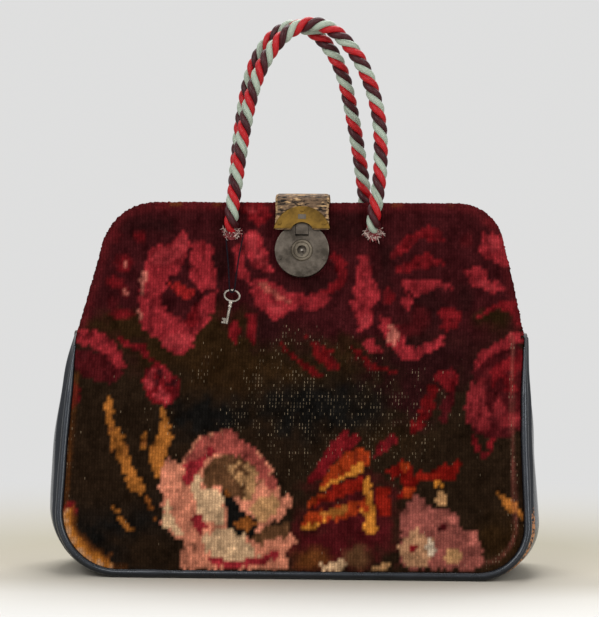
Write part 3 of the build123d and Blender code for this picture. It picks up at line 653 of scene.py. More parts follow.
def inside(points, corners):
    """Which points lie in a closed outline."""
    x, y = points[:, 0], points[:, 1]
    within = np.zeros(len(points), bool)
    for (x0, y0), (x1, y1) in zip(corners, np.roll(corners, -1, axis=0)):
        if y0 != y1:
            crosses = (y0 > y) != (y1 > y)
            within ^= crosses & (x < (x1 - x0) * (y - y0) / (y1 - y0) + x0)
    return within


# Colours of the wool
wool = {
    "maroon": (0.032, 0.0048, 0.0056),
    "wine": (0.05, 0.005, 0.006),
    "olive": (0.0195, 0.0092, 0.0034),
    "brown": (0.014, 0.0075, 0.004),
    "black": (0.0055, 0.0048, 0.0042),
    "shade": (0.018, 0.004, 0.0042),
    "pink": (0.25, 0.023, 0.027),
    "rose": (0.205, 0.015, 0.019),
    "dusk": (0.155, 0.0135, 0.016),
    "crimson": (0.115, 0.006, 0.008),
    "garnet": (0.085, 0.004, 0.0045),
    "red": (0.24, 0.012, 0.012),
    "blush": (0.36, 0.1, 0.075),
    "coral": (0.27, 0.055, 0.042),
    "salmon": (0.42, 0.145, 0.085),
    "cream": (0.415, 0.26, 0.145),
    "peach": (0.31, 0.155, 0.08),
    "taupe": (0.085, 0.037, 0.016),
    "sand": (0.32, 0.165, 0.07),
    "gold": (0.255, 0.086, 0.016),
    "amber": (0.15, 0.045, 0.009),
    "yellow": (0.45, 0.16, 0.022),
    "orange": (0.235, 0.026, 0.006),
    "rust": (0.085, 0.026, 0.007),
    "flame": (0.155, 0.008, 0.004),
    "ember": (0.11, 0.0045, 0.003),
    "mauve": (0.19, 0.052, 0.04),
    "white": (0.5, 0.38, 0.27),
}

# Fields of the ground behind the flowers: colour, middle, half width and half height in photo pixels
grounds = [
    ("olive", (118, 326), (34, 14)),
    ("olive", (215, 338), (34, 28)),
    ("olive", (165, 352), (30, 16)),
    ("olive", (235, 366), (56, 30)),
    ("brown", (345, 372), (70, 26)),
    ("olive", (305, 376), (60, 16)),
    ("olive", (352, 352), (26, 14)),
    ("black", (322, 406), (62, 28)),
    ("olive", (420, 440), (46, 14)),
    ("brown", (450, 470), (60, 60)),
    ("olive", (492, 318), (16, 10)),
    ("olive", (500, 545), (26, 24)),
    ("black", (110, 540), (60, 34)),
    ("brown", (100, 440), (40, 60)),
    ("black", (205, 418), (34, 20)),
    ("brown", (148, 550), (34, 18)),
    ("wine", (352, 520), (46, 34)),
    ("wine", (322, 547), (38, 20)),
    ("rust", (310, 558), (16, 9)),
    ("shade", (425, 360), (60, 26)),
    ("shade", (415, 392), (22, 26)),
    ("taupe", (356, 557), (11, 8)),
    ("shade", (219, 262), (8, 30)),
    ("shade", (150, 226), (24, 10)),
    ("shade", (268, 332), (14, 18)),
    ("shade", (318, 283), (24, 8)),
    ("shade", (385, 262), (10, 24)),
    ("shade", (428, 305), (18, 16)),
    ("shade", (462, 300), (10, 14)),
    ("shade", (340, 230), (26, 14)),
]

# Petals and leaves: colour and corners in photo pixels, the later over the earlier
petals = [
    # upper left rose
    ("rose", [
        (183, 227), (188, 238), (187, 256), (190, 262), (193, 243), (199, 238), (212, 245),
        (214, 266), (217, 276), (216, 300), (212, 314), (206, 326), (196, 335), (191, 350),
        (178, 355), (165, 348), (159, 339), (145, 333), (139, 322), (142, 306), (137, 295),
        (139, 281), (145, 264), (148, 252), (159, 246), (170, 243), (178, 235),
    ]),
    ("maroon", [
        (183, 262), (190, 258), (191, 272), (193, 283), (203, 292), (214, 288), (216, 293),
        (203, 297), (193, 305), (189, 324), (178, 318), (165, 312), (162, 299), (168, 287),
        (169, 276), (180, 271),
    ]),
    ("pink", [
        (159, 248), (172, 245), (182, 232), (186, 240), (184, 256), (172, 262), (158, 266),
        (149, 262),
    ]),
    ("rose", [(195, 246), (200, 242), (211, 248), (212, 270), (203, 282), (194, 272)]),
    ("pink", [(160, 342), (178, 332), (194, 334), (190, 347), (178, 352), (167, 346)]),
    ("red", [(170, 284), (181, 283), (193, 293), (189, 300), (178, 295)]),
    ("blush", [(140, 276), (146, 268), (148, 276), (144, 295), (138, 296)]),
    ("blush", [(138, 311), (143, 311), (142, 319), (138, 319)]),
    ("crimson", [(188, 312), (200, 308), (198, 322), (190, 330), (184, 322)]),
    # left edge petal and its stem
    ("wine", [(70, 348), (104, 352), (124, 372), (112, 384), (84, 378), (68, 366)]),
    ("rose", [
        (82, 330), (100, 332), (115, 343), (122, 358), (127, 369), (115, 364), (103, 352),
        (90, 346), (72, 345),
    ]),
    ("crimson", [(118, 337), (145, 347), (154, 360), (149, 362), (140, 352), (118, 342)]),
    ("crimson", [(68, 382), (78, 386), (79, 404), (70, 410)]),
    # rosebud
    ("crimson", [
        (159, 361), (172, 373), (181, 383), (178, 394), (172, 403), (162, 406), (150, 399),
        (143, 390), (142, 382), (147, 367),
    ]),
    ("pink", [(148, 369), (155, 371), (156, 384), (150, 392), (144, 386)]),
    ("pink", [(152, 394), (163, 389), (172, 395), (166, 403), (157, 402)]),
    ("rose", [(161, 364), (172, 375), (172, 382), (163, 378)]),
    ("maroon", [(157, 369), (161, 371), (163, 384), (158, 386)]),
    ("maroon", [(164, 382), (180, 383), (178, 388), (166, 388)]),
    # rose round the lock
    ("crimson", [(241, 205), (254, 204), (272, 207), (270, 217), (260, 224), (247, 219)]),
    ("pink", [(246, 206), (254, 206), (255, 214), (248, 216)]),
    ("rose", [
        (245, 232), (254, 229), (262, 239), (272, 266), (268, 274), (256, 270), (248, 260),
        (242, 243),
    ]),
    ("rose", [(235, 245), (241, 243), (243, 260), (251, 283), (243, 281), (235, 270)]),
    ("pink", [(247, 234), (254, 233), (258, 247), (266, 262), (262, 266), (252, 256)]),
    ("crimson", [
        (330, 250), (338, 256), (345, 262), (347, 277), (345, 284), (332, 293), (318, 293),
        (330, 286), (336, 278),
    ]),
    ("rose", [
        (252, 278), (262, 278), (276, 286), (290, 292), (306, 295), (322, 293), (331, 294),
        (326, 306), (318, 311), (306, 308), (291, 311), (282, 318), (274, 322), (268, 313),
        (255, 305), (252, 293),
    ]),
    ("coral", [(256, 278), (268, 284), (283, 297), (292, 300), (289, 304), (278, 300), (262, 288)]),
    ("pink", [(258, 297), (272, 302), (284, 309), (277, 317), (266, 306)]),
    ("crimson", [(231, 322), (241, 318), (238, 344), (230, 344)]),
    ("crimson", [(247, 312), (258, 314), (255, 344), (249, 344)]),
    # upper right rose
    ("rose", [
        (360, 254), (370, 255), (371, 272), (378, 287), (380, 297), (370, 310), (372, 325),
        (362, 333), (356, 322), (354, 312), (351, 302), (354, 291), (356, 276),
    ]),
    ("rose", [(355, 294), (364, 290), (370, 298), (366, 308), (357, 308)]),
    ("pink", [(359, 318), (369, 314), (370, 325), (362, 330)]),
    ("crimson", [
        (402, 239), (414, 232), (431, 224), (439, 232), (446, 239), (443, 245), (425, 239),
        (412, 245), (399, 257), (391, 255), (395, 247),
    ]),
    ("crimson", [
        (397, 266), (412, 260), (429, 253), (436, 258), (448, 268), (436, 267), (425, 268),
        (410, 272), (395, 274),
    ]),
    ("rose", [
        (399, 285), (412, 277), (429, 279), (448, 283), (456, 291), (446, 287), (433, 289),
        (422, 296), (410, 293),
    ]),
    ("crimson", [(383, 290), (391, 288), (394, 299), (389, 306), (382, 302)]),
    ("rose", [(402, 298), (411, 294), (411, 308), (405, 313)]),
    ("rose", [
        (378, 310), (386, 318), (393, 325), (403, 327), (405, 341), (414, 348), (426, 343),
        (443, 337), (446, 344), (433, 351), (414, 361), (399, 358), (387, 345), (380, 326),
    ]),
    ("blush", [(386, 322), (394, 326), (398, 338), (393, 345), (388, 336)]),
    ("crimson", [
        (439, 312), (448, 304), (460, 312), (458, 326), (446, 333), (438, 328), (443, 318),
    ]),
    ("rose", [(362, 343), (372, 340), (383, 352), (376, 354), (364, 350)]),
    # rose at the right edge
    ("rose", [(483, 233), (500, 235), (506, 245), (512, 268), (496, 264), (483, 257), (477, 251)]),
    ("rose", [
        (465, 271), (479, 266), (487, 272), (489, 280), (502, 283), (504, 289), (492, 295),
        (477, 286), (467, 278),
    ]),
    ("pink", [(488, 237), (500, 238), (503, 248), (492, 250)]),
    ("pink", [(481, 281), (490, 282), (498, 287), (491, 292), (481, 286)]),
    ("crimson", [
        (512, 300), (522, 304), (526, 330), (519, 328), (510, 314), (498, 309), (479, 318),
        (471, 321), (484, 312), (496, 302),
    ]),
    # tall rose on the right
    ("wine", [(474, 372), (488, 352), (519, 342), (526, 380), (524, 430), (490, 440), (470, 428)]),
    ("rose", [
        (473, 364), (483, 350), (500, 341), (519, 332), (525, 342), (504, 349), (489, 355),
        (480, 368), (474, 372),
    ]),
    ("crimson", [(490, 372), (506, 358), (524, 350), (524, 369), (506, 373), (494, 387)]),
    ("dusk", [
        (475, 379), (485, 379), (487, 405), (492, 426), (485, 434), (475, 428), (466, 422),
        (466, 405), (471, 388),
    ]),
    ("dusk", [(496, 391), (504, 405), (508, 417), (520, 412), (521, 426), (500, 426), (494, 415)]),
    ("crimson", [
        (468, 431), (475, 437), (481, 450), (486, 453), (490, 438), (496, 437), (494, 449),
        (485, 459), (477, 453), (469, 441),
    ]),
    ("crimson", [(502, 376), (514, 372), (518, 392), (508, 396)]),
    # red leaves between
    ("garnet", [
        (305, 331), (313, 343), (330, 348), (339, 364), (342, 374), (326, 368), (312, 353),
    ]),
    ("garnet", [
        (280, 342), (291, 354), (309, 364), (325, 377), (316, 377), (297, 364), (284, 352),
    ]),
    ("garnet", [
        (347, 346), (360, 352), (376, 364), (395, 369), (397, 374), (372, 370), (357, 358),
    ]),
    ("crimson", [(431, 377), (439, 373), (452, 367), (461, 381), (450, 392), (444, 387)]),
    ("garnet", [
        (418, 414), (429, 384), (437, 386), (433, 409), (422, 430), (408, 436), (412, 422),
    ]),
    ("wine", [(439, 403), (452, 390), (456, 398), (444, 424), (440, 425)]),
    # gold leaves
    ("gold", [
        (108, 398), (113, 401), (113, 418), (124, 441), (132, 466), (138, 479), (146, 489),
        (141, 494), (127, 484), (121, 466), (113, 451), (108, 430), (106, 409),
    ]),
    ("amber", [(143, 490), (151, 502), (159, 520), (157, 522), (147, 505)]),
    ("gold", [(110, 502), (122, 515), (130, 522), (134, 532), (124, 527), (115, 512)]),
    ("gold", [
        (162, 408), (168, 415), (172, 435), (168, 453), (165, 461), (161, 478), (155, 476),
        (150, 462), (151, 449), (156, 439),
    ]),
    ("gold", [(142, 431), (149, 431), (148, 451), (142, 449)]),
    ("gold", [(496, 491), (510, 498), (524, 510), (526, 521), (513, 514), (504, 504)]),
    # large pale rose
    ("salmon", [
        (228, 428), (237, 437), (256, 449), (266, 460), (274, 476), (281, 495), (291, 494),
        (292, 504), (283, 516), (268, 523), (293, 535), (295, 539), (283, 558), (291, 569),
        (182, 569), (180, 554), (184, 542), (172, 535), (163, 525), (163, 504), (159, 481),
        (163, 462), (172, 456), (180, 468), (184, 458), (191, 443), (210, 433),
    ]),
    ("coral", [
        (184, 460), (201, 439), (228, 430), (256, 449), (274, 478), (276, 491), (264, 487),
        (254, 464), (233, 453), (214, 453), (199, 464), (191, 476),
    ]),
    ("rose", [
        (184, 466), (201, 456), (214, 445), (216, 453), (203, 464), (193, 483), (187, 487),
        (183, 474),
    ]),
    ("taupe", [
        (207, 464), (224, 453), (243, 456), (254, 466), (260, 487), (245, 502), (233, 495),
        (216, 483), (205, 491), (203, 476),
    ]),
    ("sand", [(228, 466), (249, 462), (258, 476), (254, 495), (243, 502), (243, 487), (232, 476)]),
    ("taupe", [(232, 470), (246, 466), (248, 472), (236, 477)]),
    ("sand", [(260, 498), (275, 495), (279, 506), (268, 520), (251, 516), (249, 510)]),
    ("cream", [
        (191, 480), (201, 474), (203, 489), (216, 487), (222, 499), (226, 514), (222, 525),
        (203, 518), (193, 502),
    ]),
    ("black", [
        (220, 487), (233, 495), (243, 510), (258, 522), (254, 539), (241, 535), (228, 527),
        (226, 506),
    ]),
    ("amber", [(221, 486), (230, 491), (232, 497), (224, 496)]),
    ("amber", [(233, 522), (246, 516), (256, 524), (244, 532)]),
    ("taupe", [(251, 539), (268, 527), (289, 525), (291, 533), (268, 543), (262, 549)]),
    ("cream", [
        (203, 537), (222, 527), (243, 535), (252, 548), (260, 556), (247, 562), (220, 560),
        (205, 550),
    ]),
    ("rose", [(193, 514), (203, 514), (208, 529), (201, 535), (193, 527)]),
    ("rose", [
        (208, 557), (230, 561), (258, 558), (277, 550), (283, 556), (264, 564), (230, 568),
        (214, 565),
    ]),
    ("salmon", [(262, 544), (277, 537), (293, 535), (291, 543), (276, 550), (266, 548)]),
    ("cream", [(164, 502), (170, 499), (172, 518), (184, 533), (176, 535), (164, 524)]),
    # lily
    ("crimson", [
        (305, 481), (320, 462), (330, 443), (343, 432), (356, 433), (361, 439), (353, 449),
        (336, 460), (322, 476), (311, 483),
    ]),
    ("orange", [
        (326, 472), (343, 456), (362, 447), (369, 453), (370, 464), (356, 476), (337, 480),
        (322, 487), (318, 485),
    ]),
    ("yellow", [
        (320, 489), (332, 480), (340, 476), (357, 464), (368, 466), (356, 475), (338, 481),
        (323, 492),
    ]),
    ("flame", [(318, 495), (337, 485), (361, 477), (363, 489), (343, 497), (322, 502), (308, 507)]),
    ("orange", [(312, 497), (322, 492), (324, 497), (309, 507), (304, 508)]),
    ("orange", [
        (305, 514), (326, 510), (353, 502), (361, 510), (353, 518), (328, 521), (312, 527),
        (303, 531), (303, 525),
    ]),
    ("gold", [(318, 513), (346, 506), (351, 512), (326, 519)]),
    ("yellow", [(303, 526), (326, 520), (327, 523), (312, 529), (303, 532)]),
    ("yellow", [
        (362, 481), (370, 479), (374, 499), (376, 518), (380, 529), (368, 535), (362, 531),
        (366, 518), (357, 508), (364, 495),
    ]),
    ("orange", [(357, 503), (366, 497), (370, 508), (362, 512)]),
    ("flame", [(376, 487), (389, 487), (387, 506), (393, 512), (382, 518), (376, 504)]),
    ("crimson", [(380, 443), (395, 435), (397, 441), (384, 453), (374, 459)]),
    ("ember", [
        (387, 472), (402, 460), (412, 466), (414, 474), (433, 470), (443, 464), (460, 462),
        (460, 474), (448, 481), (441, 478), (420, 481), (414, 487), (412, 495), (403, 503),
        (399, 495), (404, 487), (399, 476), (391, 478),
    ]),
    ("orange", [(400, 462), (410, 463), (412, 472), (403, 473)]),
    ("flame", [(412, 474), (441, 474), (434, 480), (416, 481)]),
    ("orange", [(403, 487), (415, 487), (414, 496), (404, 502)]),
    ("yellow", [(434, 479), (443, 479), (443, 486), (435, 486)]),
    # mauve cluster
    ("mauve", [
        (414, 495), (422, 499), (431, 508), (448, 510), (458, 518), (458, 527), (471, 533),
        (481, 541), (483, 562), (475, 570), (404, 569), (399, 552), (402, 533), (397, 525),
        (402, 508),
    ]),
    ("peach", [
        (406, 537), (418, 527), (424, 535), (433, 539), (435, 552), (426, 567), (404, 566),
        (399, 549),
    ]),
    ("peach", [(404, 548), (414, 543), (420, 551), (418, 563), (405, 563)]),
    ("white", [(429, 538), (437, 545), (431, 558), (425, 548)]),
    ("sand", [(435, 493), (446, 493), (447, 502), (441, 507), (436, 502)]),
    ("blush", [(466, 533), (477, 531), (481, 539), (471, 545)]),
    ("sand", [(448, 550), (460, 548), (464, 558), (452, 566), (444, 560)]),
    ("blush", [(440, 512), (456, 518), (456, 525), (446, 524)]),
    ("wine", [(437, 524), (449, 525), (447, 531), (438, 530)]),
    ("crimson", [(408, 547), (418, 546), (418, 552), (409, 552)]),
    # pale wear along the bottom
    ("cream", [(322, 564), (346, 560), (352, 566), (344, 570), (322, 570)]),
    ("sand", [(372, 565), (388, 564), (392, 570), (372, 570)]),
]

# Small spots: colour, middle and half size in photo pixels
spots = [
    ("crimson", (141, 236), (6, 6)), ("crimson", (124, 264), (9, 8)), ("crimson", (115, 283), (8, 6)),
    ("crimson", (125, 291), (5, 5)), ("crimson", (122, 314), (11, 5)), ("wine", (113, 304), (6, 9)),
    ("blush", (127, 264), (2, 2)), ("blush", (126, 292), (2, 2)), ("wine", (115, 234), (6, 9)),
    ("wine", (466, 240), (7, 7)), ("wine", (490, 222), (10, 6)), ("rust", (175, 203), (6, 3)),
    ("rust", (216, 204), (4, 3)), ("rust", (398, 203), (6, 3)), ("rust", (446, 203), (6, 3)),
    ("crimson", (70, 508), (7, 6)), ("wine", (408, 330), (12, 8)), ("wine", (420, 318), (10, 12)),
]


def hash_noise(cells, seed):
    """One number from 0 to 1 for each cell, the same on every run."""
    value = np.sin(cells[:, 0] * 12.9898 + cells[:, 1] * 78.233 + seed * 37.719) * 43758.5453
    return value - np.floor(value)


def smooth_cells(places, scale, seed):
    """Smooth noise from 0 to 1 over places in photo pixels."""
    grid = places / scale
    low = np.floor(grid)
    part = grid - low
    part = part * part * (3 - 2 * part)
    corner = [hash_noise(low + np.array(step), seed) for step in ((0, 0), (1, 0), (0, 1), (1, 1))]
    upper = corner[0] + (corner[1] - corner[0]) * part[:, 0]
    lower = corner[2] + (corner[3] - corner[2]) * part[:, 0]
    return upper + (lower - upper) * part[:, 1]


def paint(colour, name, share):
    """Colours with a share of one wool laid over them."""
    share = share[:, None]
    return colour * (1 - share) + np.array(wool[name]) * share


def reach_of(places, middle, half):
    """Distance from a middle, counted in half widths and half heights."""
    return np.linalg.norm((places - np.array(middle)) / np.array(half), axis=1)


def drawn_colours(places, cells):
    """Colour of each tuft in the drawing, and which tufts belong to flowers and leaves."""
    cloud = smooth_cells(places, 34, 3)
    low = np.clip((places[:, 1] - 318 + 50 * (cloud - 0.5)) / 46, 0, 1)
    colour = paint(np.tile(wool["maroon"], (len(places), 1)), "brown", low)
    edge = 0.9 * (smooth_cells(places, 9, 4) - 0.5)
    for name, middle, half in grounds:
        colour = paint(colour, name, np.clip(1.5 - reach_of(places, middle, half) - edge, 0, 1))
    flower = np.zeros(len(places), bool)
    for name, corners in petals:
        within = inside(places, np.array(corners, float))
        colour[within] = wool[name]
        flower |= within
    gap = np.clip((0.36 - smooth_cells(places * (1, 0.7), 5, 17)) / 0.12, 0, 1)
    colour = paint(colour, "maroon", 0.5 * gap * flower * (places[:, 1] < 462))
    for name, middle, half in spots:
        colour = paint(colour, name, np.clip(2.2 - 1.8 * reach_of(places, middle, half), 0, 1))
    streak = 0.36 * smooth_cells(places, 5, 5) + 0.24 * smooth_cells(places, 13, 9)
    streak = streak + 0.2 * hash_noise(cells, 6)
    streak = streak + 0.2 * smooth_cells(places * (1, 0.3), 3.5, 15)
    contrast = np.where(flower, 2.1, 1.5)
    return colour * (1 + contrast * (streak - 0.5))[:, None], flower


def rubbed_borders_and_rim_highlight(colour, places, border):
    """Colours with the rubbed lower left corner and the paler lines along the edges; the paler band along
    the top rim is a painted highlight.
    """
    across, down = places.T
    rub = 1.25 - (border - corner_rub_start) / corner_rub_fade - 0.5 * smooth_cells(places, 7, 7)
    rub = np.clip(rub, 0, 1.2) * ((across < 112) & (down > 508))
    for share, name in ((rub, "amber"), (rub - 0.45, "yellow"), (rub - 0.9, "white")):
        colour = paint(colour, name, np.clip(1.6 * share, 0, 1))
    right_line = np.clip(1 - np.abs(border - right_line_place) / right_line_half, 0, 1)
    right_line = right_line * (down > 335) * (across > 450)
    left_line = np.clip(1 - (border - left_line_start) / left_line_fade, 0, 1)
    left_line = left_line * (down > 372) * (across < 130)
    # Paler band along the top rim: painted highlight where the rim catches the light
    top_rim_highlight = np.clip(1 - (border - top_rim_highlight_start) / top_rim_highlight_fade, 0, 1) * (down < 330)
    patchy = 0.3 + 0.7 * smooth_cells(places, 8, 16)
    for share, name in ((0.4 * right_line, "blush"), (0.5 * left_line, "amber"), (0.4 * top_rim_highlight, "dusk")):
        colour = paint(colour, name, share * patchy)
    return colour


def bare_chance(places, cells, border, flower):
    """Chance that a tuft is worn down to its threads, most of all in the middle of the panel."""
    across, down = places.T
    column = 0.25 + 1.5 * hash_noise(cells * (1, 0), 13) ** 2
    row = 0.4 + 1.2 * hash_noise(cells * (0, 1), 14)
    middle = np.clip(1.5 - 1.5 * reach_of(places, (308, 415), (172, 96)), 0, 1)
    wear = middle * np.clip(2.2 * smooth_cells(places, 21, 8) - 0.6, 0, 0.75)
    wear = np.clip(wear * column * row, 0, 0.9)
    right_edge = np.clip(1 - np.abs(border - right_line_place) / right_wear_half, 0, 1)
    right_edge = right_edge * (down > 340) * (across > 450)
    left_edge = np.clip(1 - border / left_wear_fade, 0, 1) * (down > 400) * (across < 120)
    wear = wear + 0.8 * right_edge + 0.8 * left_edge + 0.012 * (down > 360)
    return np.where(flower, 0.35 * wear, wear)


def carpet_colours(places, cells, border):
    """Colour and wear of each tuft from its place in the drawing and its distance to the border."""
    wobble = np.stack([smooth_cells(places, 5, 1), smooth_cells(places, 5, 2)], axis=1) - 0.5
    jitter = np.stack([hash_noise(cells, 11), hash_noise(cells, 12)], axis=1) - 0.5
    places = places + 4.0 * wobble + 2.4 * jitter
    colour, flower = drawn_colours(places, cells)
    colour = rubbed_borders_and_rim_highlight(colour, places, border)
    wear = bare_chance(places, cells, border, flower)
    return np.concatenate([colour, wear[:, None]], axis=1)


def carpet_panel(name, side):
    """One carpet face as rows of tufts, snapped to its outline and rolled over its rim."""
    ends = [(right_corner, piping_corner), (left_corner, left_foot_corner)]
    right_end, left_end = ends if side < 0 else ends[::-1]
    rim = np.concatenate([outline(face_roll, *right_end), outline(face_roll, *left_end)[::-1] * (-1, 1)])
    columns = 2 * (int(base_half_width / tuft_width) + 3)
    rows = int(bag_top / tuft_height) + 2
    tuft = np.array([tuft_width, tuft_height])
    origin = np.array([-columns * tuft_width / 2, 0])

    across, up = np.meshgrid(np.arange(columns), np.arange(rows), indexing="ij")
    cells = np.stack([across.ravel(), up.ravel()], axis=1)
    flat = origin + (cells + 0.5) * tuft
    middles = np.stack([flat[:, 0] + drift(flat[:, 1]), -face_depth(*flat.T), flat[:, 1]], axis=1)
    border = np.sqrt(((flat[:, None] - rim[None, ::12]) ** 2).sum(axis=2).min(axis=1))
    colour = carpet_colours(photo_place(middles), cells, border).reshape(columns, rows, 4)

    across, up = np.meshgrid(np.arange(2 * columns + 1), np.arange(2 * rows + 1), indexing="ij")
    left, right = np.clip((across - 1) // 2, 0, None), np.clip(across // 2, None, columns - 1)
    below, above = np.clip((up - 1) // 2, 0, None), np.clip(up // 2, None, rows - 1)
    colour = (colour[left, below] + colour[right, below] + colour[left, above] + colour[right, above]) / 4
    colour = colour.reshape(-1, 4)
    crown = ((across % 2) * (up % 2)).ravel()
    flat = origin + np.stack([across.ravel(), up.ravel()], axis=1) / 2 * tuft
    within = inside(flat, rim)
    stride = 2 * rows + 1
    first = (np.arange(2 * columns)[:, None] * stride + np.arange(2 * rows)).ravel()
    spans = np.stack([first, first + stride, first + stride + 1, first + 1], axis=1)
    spans = spans[within[spans].any(axis=1)]
    used, spans = np.unique(spans, return_inverse=True)
    faces = spans.reshape(-1, 4).tolist()
    flat, colour, crown, within = flat[used], colour[used], crown[used], within[used]
    for index in np.flatnonzero(~within):
        flat[index] = rim[np.argmin(((rim - flat[index]) ** 2).sum(axis=1))]
    places = (flat - origin) / tuft
    points = np.stack([flat[:, 0] + drift(flat[:, 1]), -face_depth(*flat.T), flat[:, 1]], axis=1)
    free = np.clip((flat[:, 1] - sag_start) / sag_foot_fade, 0, 1)
    free = free * np.clip((bag_top - flat[:, 1]) / sag_top_fade, 0, 1)
    points[:, 1] += sag_depth * soft_noise(points, sag_wave, 11) * free
    points[:, 1] -= tuft_relief * crown * within
    points[:, 1] += pile_jitter * np.random.default_rng(5).normal(size=len(points))

    edges = {(a, b) for face in faces for a, b in zip(face, face[1:] + face[:1])}
    following = {a: b for a, b in edges if (b, a) not in edges}
    loop = [min(following)]
    while following[loop[-1]] != loop[0]:
        loop.append(following[loop[-1]])
    ring = flat[loop]
    tangent = unit(np.roll(ring, -3, axis=0) - np.roll(ring, 3, axis=0))
    outward = np.stack([tangent[:, 1], -tangent[:, 0]], axis=1)
    face_y = points[loop, 1]
    high = np.clip((ring[:, 1] - wall_start) / wall_fade, 0, 1)
    wall_end = (1 - high) * (face_y + 2 * face_roll) - high * mouth_gap
    fuzz = pile_fuzz * np.random.default_rng(6).normal(size=len(loop)) * high
    steps = [
        (face_roll * 0.7 + fuzz, face_y + 0.3 * face_roll),
        (face_roll + fuzz, face_y + face_roll),
        (face_roll + fuzz, 0.5 * (face_y + face_roll + wall_end)),
        (face_roll * np.ones(len(loop)), wall_end),
        (face_roll * (1 - 1.3 * high), wall_end + mouth_gap / 2 * high),
    ]
    before = loop
    for reach, y in steps:
        spot = ring + outward * reach[:, None]
        here = list(range(len(points), len(points) + len(loop)))
        points = np.concatenate([points, np.stack([spot[:, 0] + drift(spot[:, 1]), y, spot[:, 1]], axis=1)])
        turned = np.stack([outward[:, 0] * reach, outward[:, 1] * reach + np.abs(y)], axis=1)
        places = np.concatenate([places, places[loop] + turned / tuft])
        colour = np.concatenate([colour, colour[loop]])
        for k in range(len(loop)):
            after = (k + 1) % len(loop)
            faces.append([before[after], before[k], here[k], here[after]])
        before = here
    if side > 0:
        points = points * (-1, -1, 1)
        points[:, 0] += 2 * drift(points[:, 2])
    piece = add_piece(name, points, faces, carpet_pile, places)
    paint = piece.data.color_attributes.new("pile", "FLOAT_COLOR", "POINT")
    paint.data.foreach_set("color", colour.ravel())
    return piece


for end_name, side in (("front", -1), ("back", 1)):
    carpet = carpet_panel(f"{end_name}_carpet", side)
    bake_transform(carpet)
    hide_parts(f"{end_name}_carpet_lower", f"{end_name}_carpet_fold", f"{end_name}_carpet_upper")


# Gusset and piping
def seam_line():
    """Seam from the left hinge round the bottom to the right hinge, with its outward direction."""
    right, left = outline(0), outline(0, foot_corner=left_foot_corner)
    right, left = (half[half[:, 1] <= hinge_height + 1e-9] for half in (right, left))
    line = np.concatenate([left[::-1] * (-1, 1), right[1:]])
    run = run_along(line)
    even = np.linspace(0, run[-1], 300)
    line = np.stack([np.interp(even, run, line[:, axis]) for axis in range(2)], axis=1)
    tangent = unit(np.gradient(line, axis=0))
    return line, np.stack([tangent[:, 1], -tangent[:, 0]], axis=1)


def seam_depth(z):
    """Depth of the seam at a height."""
    return base_seam_half + (rim_seam_half - base_seam_half) * z / hinge_height


def side_bulge(level, way):
    """How far the gusset stands out beyond its seams, at a share of the hinge's height."""
    bulge = (base_side_half - base_half_width) * (1 - level) + (rim_side_half - rim_half_width) * level
    if way < 0:
        return bulge + left_bulge * math.sin(math.pi * level**1.15)
    return bulge + right_bulge * (1 - 0.6 * level) + right_swell * math.sin(math.pi * level)


def gusset_piece():
    """Leather strip that bulges between the two seams, with a welt by each seam and a tab at each hinge."""
    line, outward = seam_line()
    rows = [(spot, way, seam_depth(spot[1]), 0.0, 1.0) for spot, way in zip(line, outward)]
    for turn in np.linspace(0, math.pi / 2, 8)[1:]:
        rise, width = tab_radius * math.sin(turn), rim_seam_half * math.cos(turn)
        rows.insert(0, (line[0], outward[0], width, rise, 1 - turn))
        rows.append((line[-1], outward[-1], width, rise, 1 - turn))
    turn = np.sin(math.pi / 2 * np.linspace(-1, 1, gusset_bands))
    points, rub = [], []
    for (x, z), (nx, nz), width, rise, fullness in rows:
        level = np.clip(z / hinge_height, 0, 1)
        bulge = piping_lift + (side_bulge(level, nx) - piping_lift) * abs(nx) ** 1.3
        y = width * turn
        aside = width - np.abs(y)
        spots = np.stack([np.full(gusset_bands, x), y, np.full(gusset_bands, z)], axis=1)
        crumple = crumple_depth * soft_noise(spots, crumple_wave, 21) * (1 - np.abs(turn) ** 6) * abs(nx)
        welt = np.exp(-(((aside - welt_place) / welt_width) ** 2)) * min(1, width / welt_fade)
        reach = bulge * (1 - np.abs(turn) ** 3.2) * fullness + crumple + welt_height * welt
        height = np.maximum(z + nz * reach, floor_clear) + rise
        points.append(np.stack([x + nx * (reach - tab_tuck * rise) + drift(height), y, height], axis=1))
        corner = np.clip(nx / 0.3, 0, 1) * np.clip((rub_top - z) / rub_fade, 0, 1)
        rub.append(corner * np.clip(1.4 * welt + 0.5 * (aside < welt_place), 0, 1) * (y < 0))
    faces = grid_faces(len(rows), gusset_bands, flip=True)
    piece = add_piece("gusset_strip", np.concatenate(points), faces, gusset_leather)
    piece.data.attributes.new("rub", "FLOAT", "POINT").data.foreach_set("value", np.concatenate(rub))
    return piece


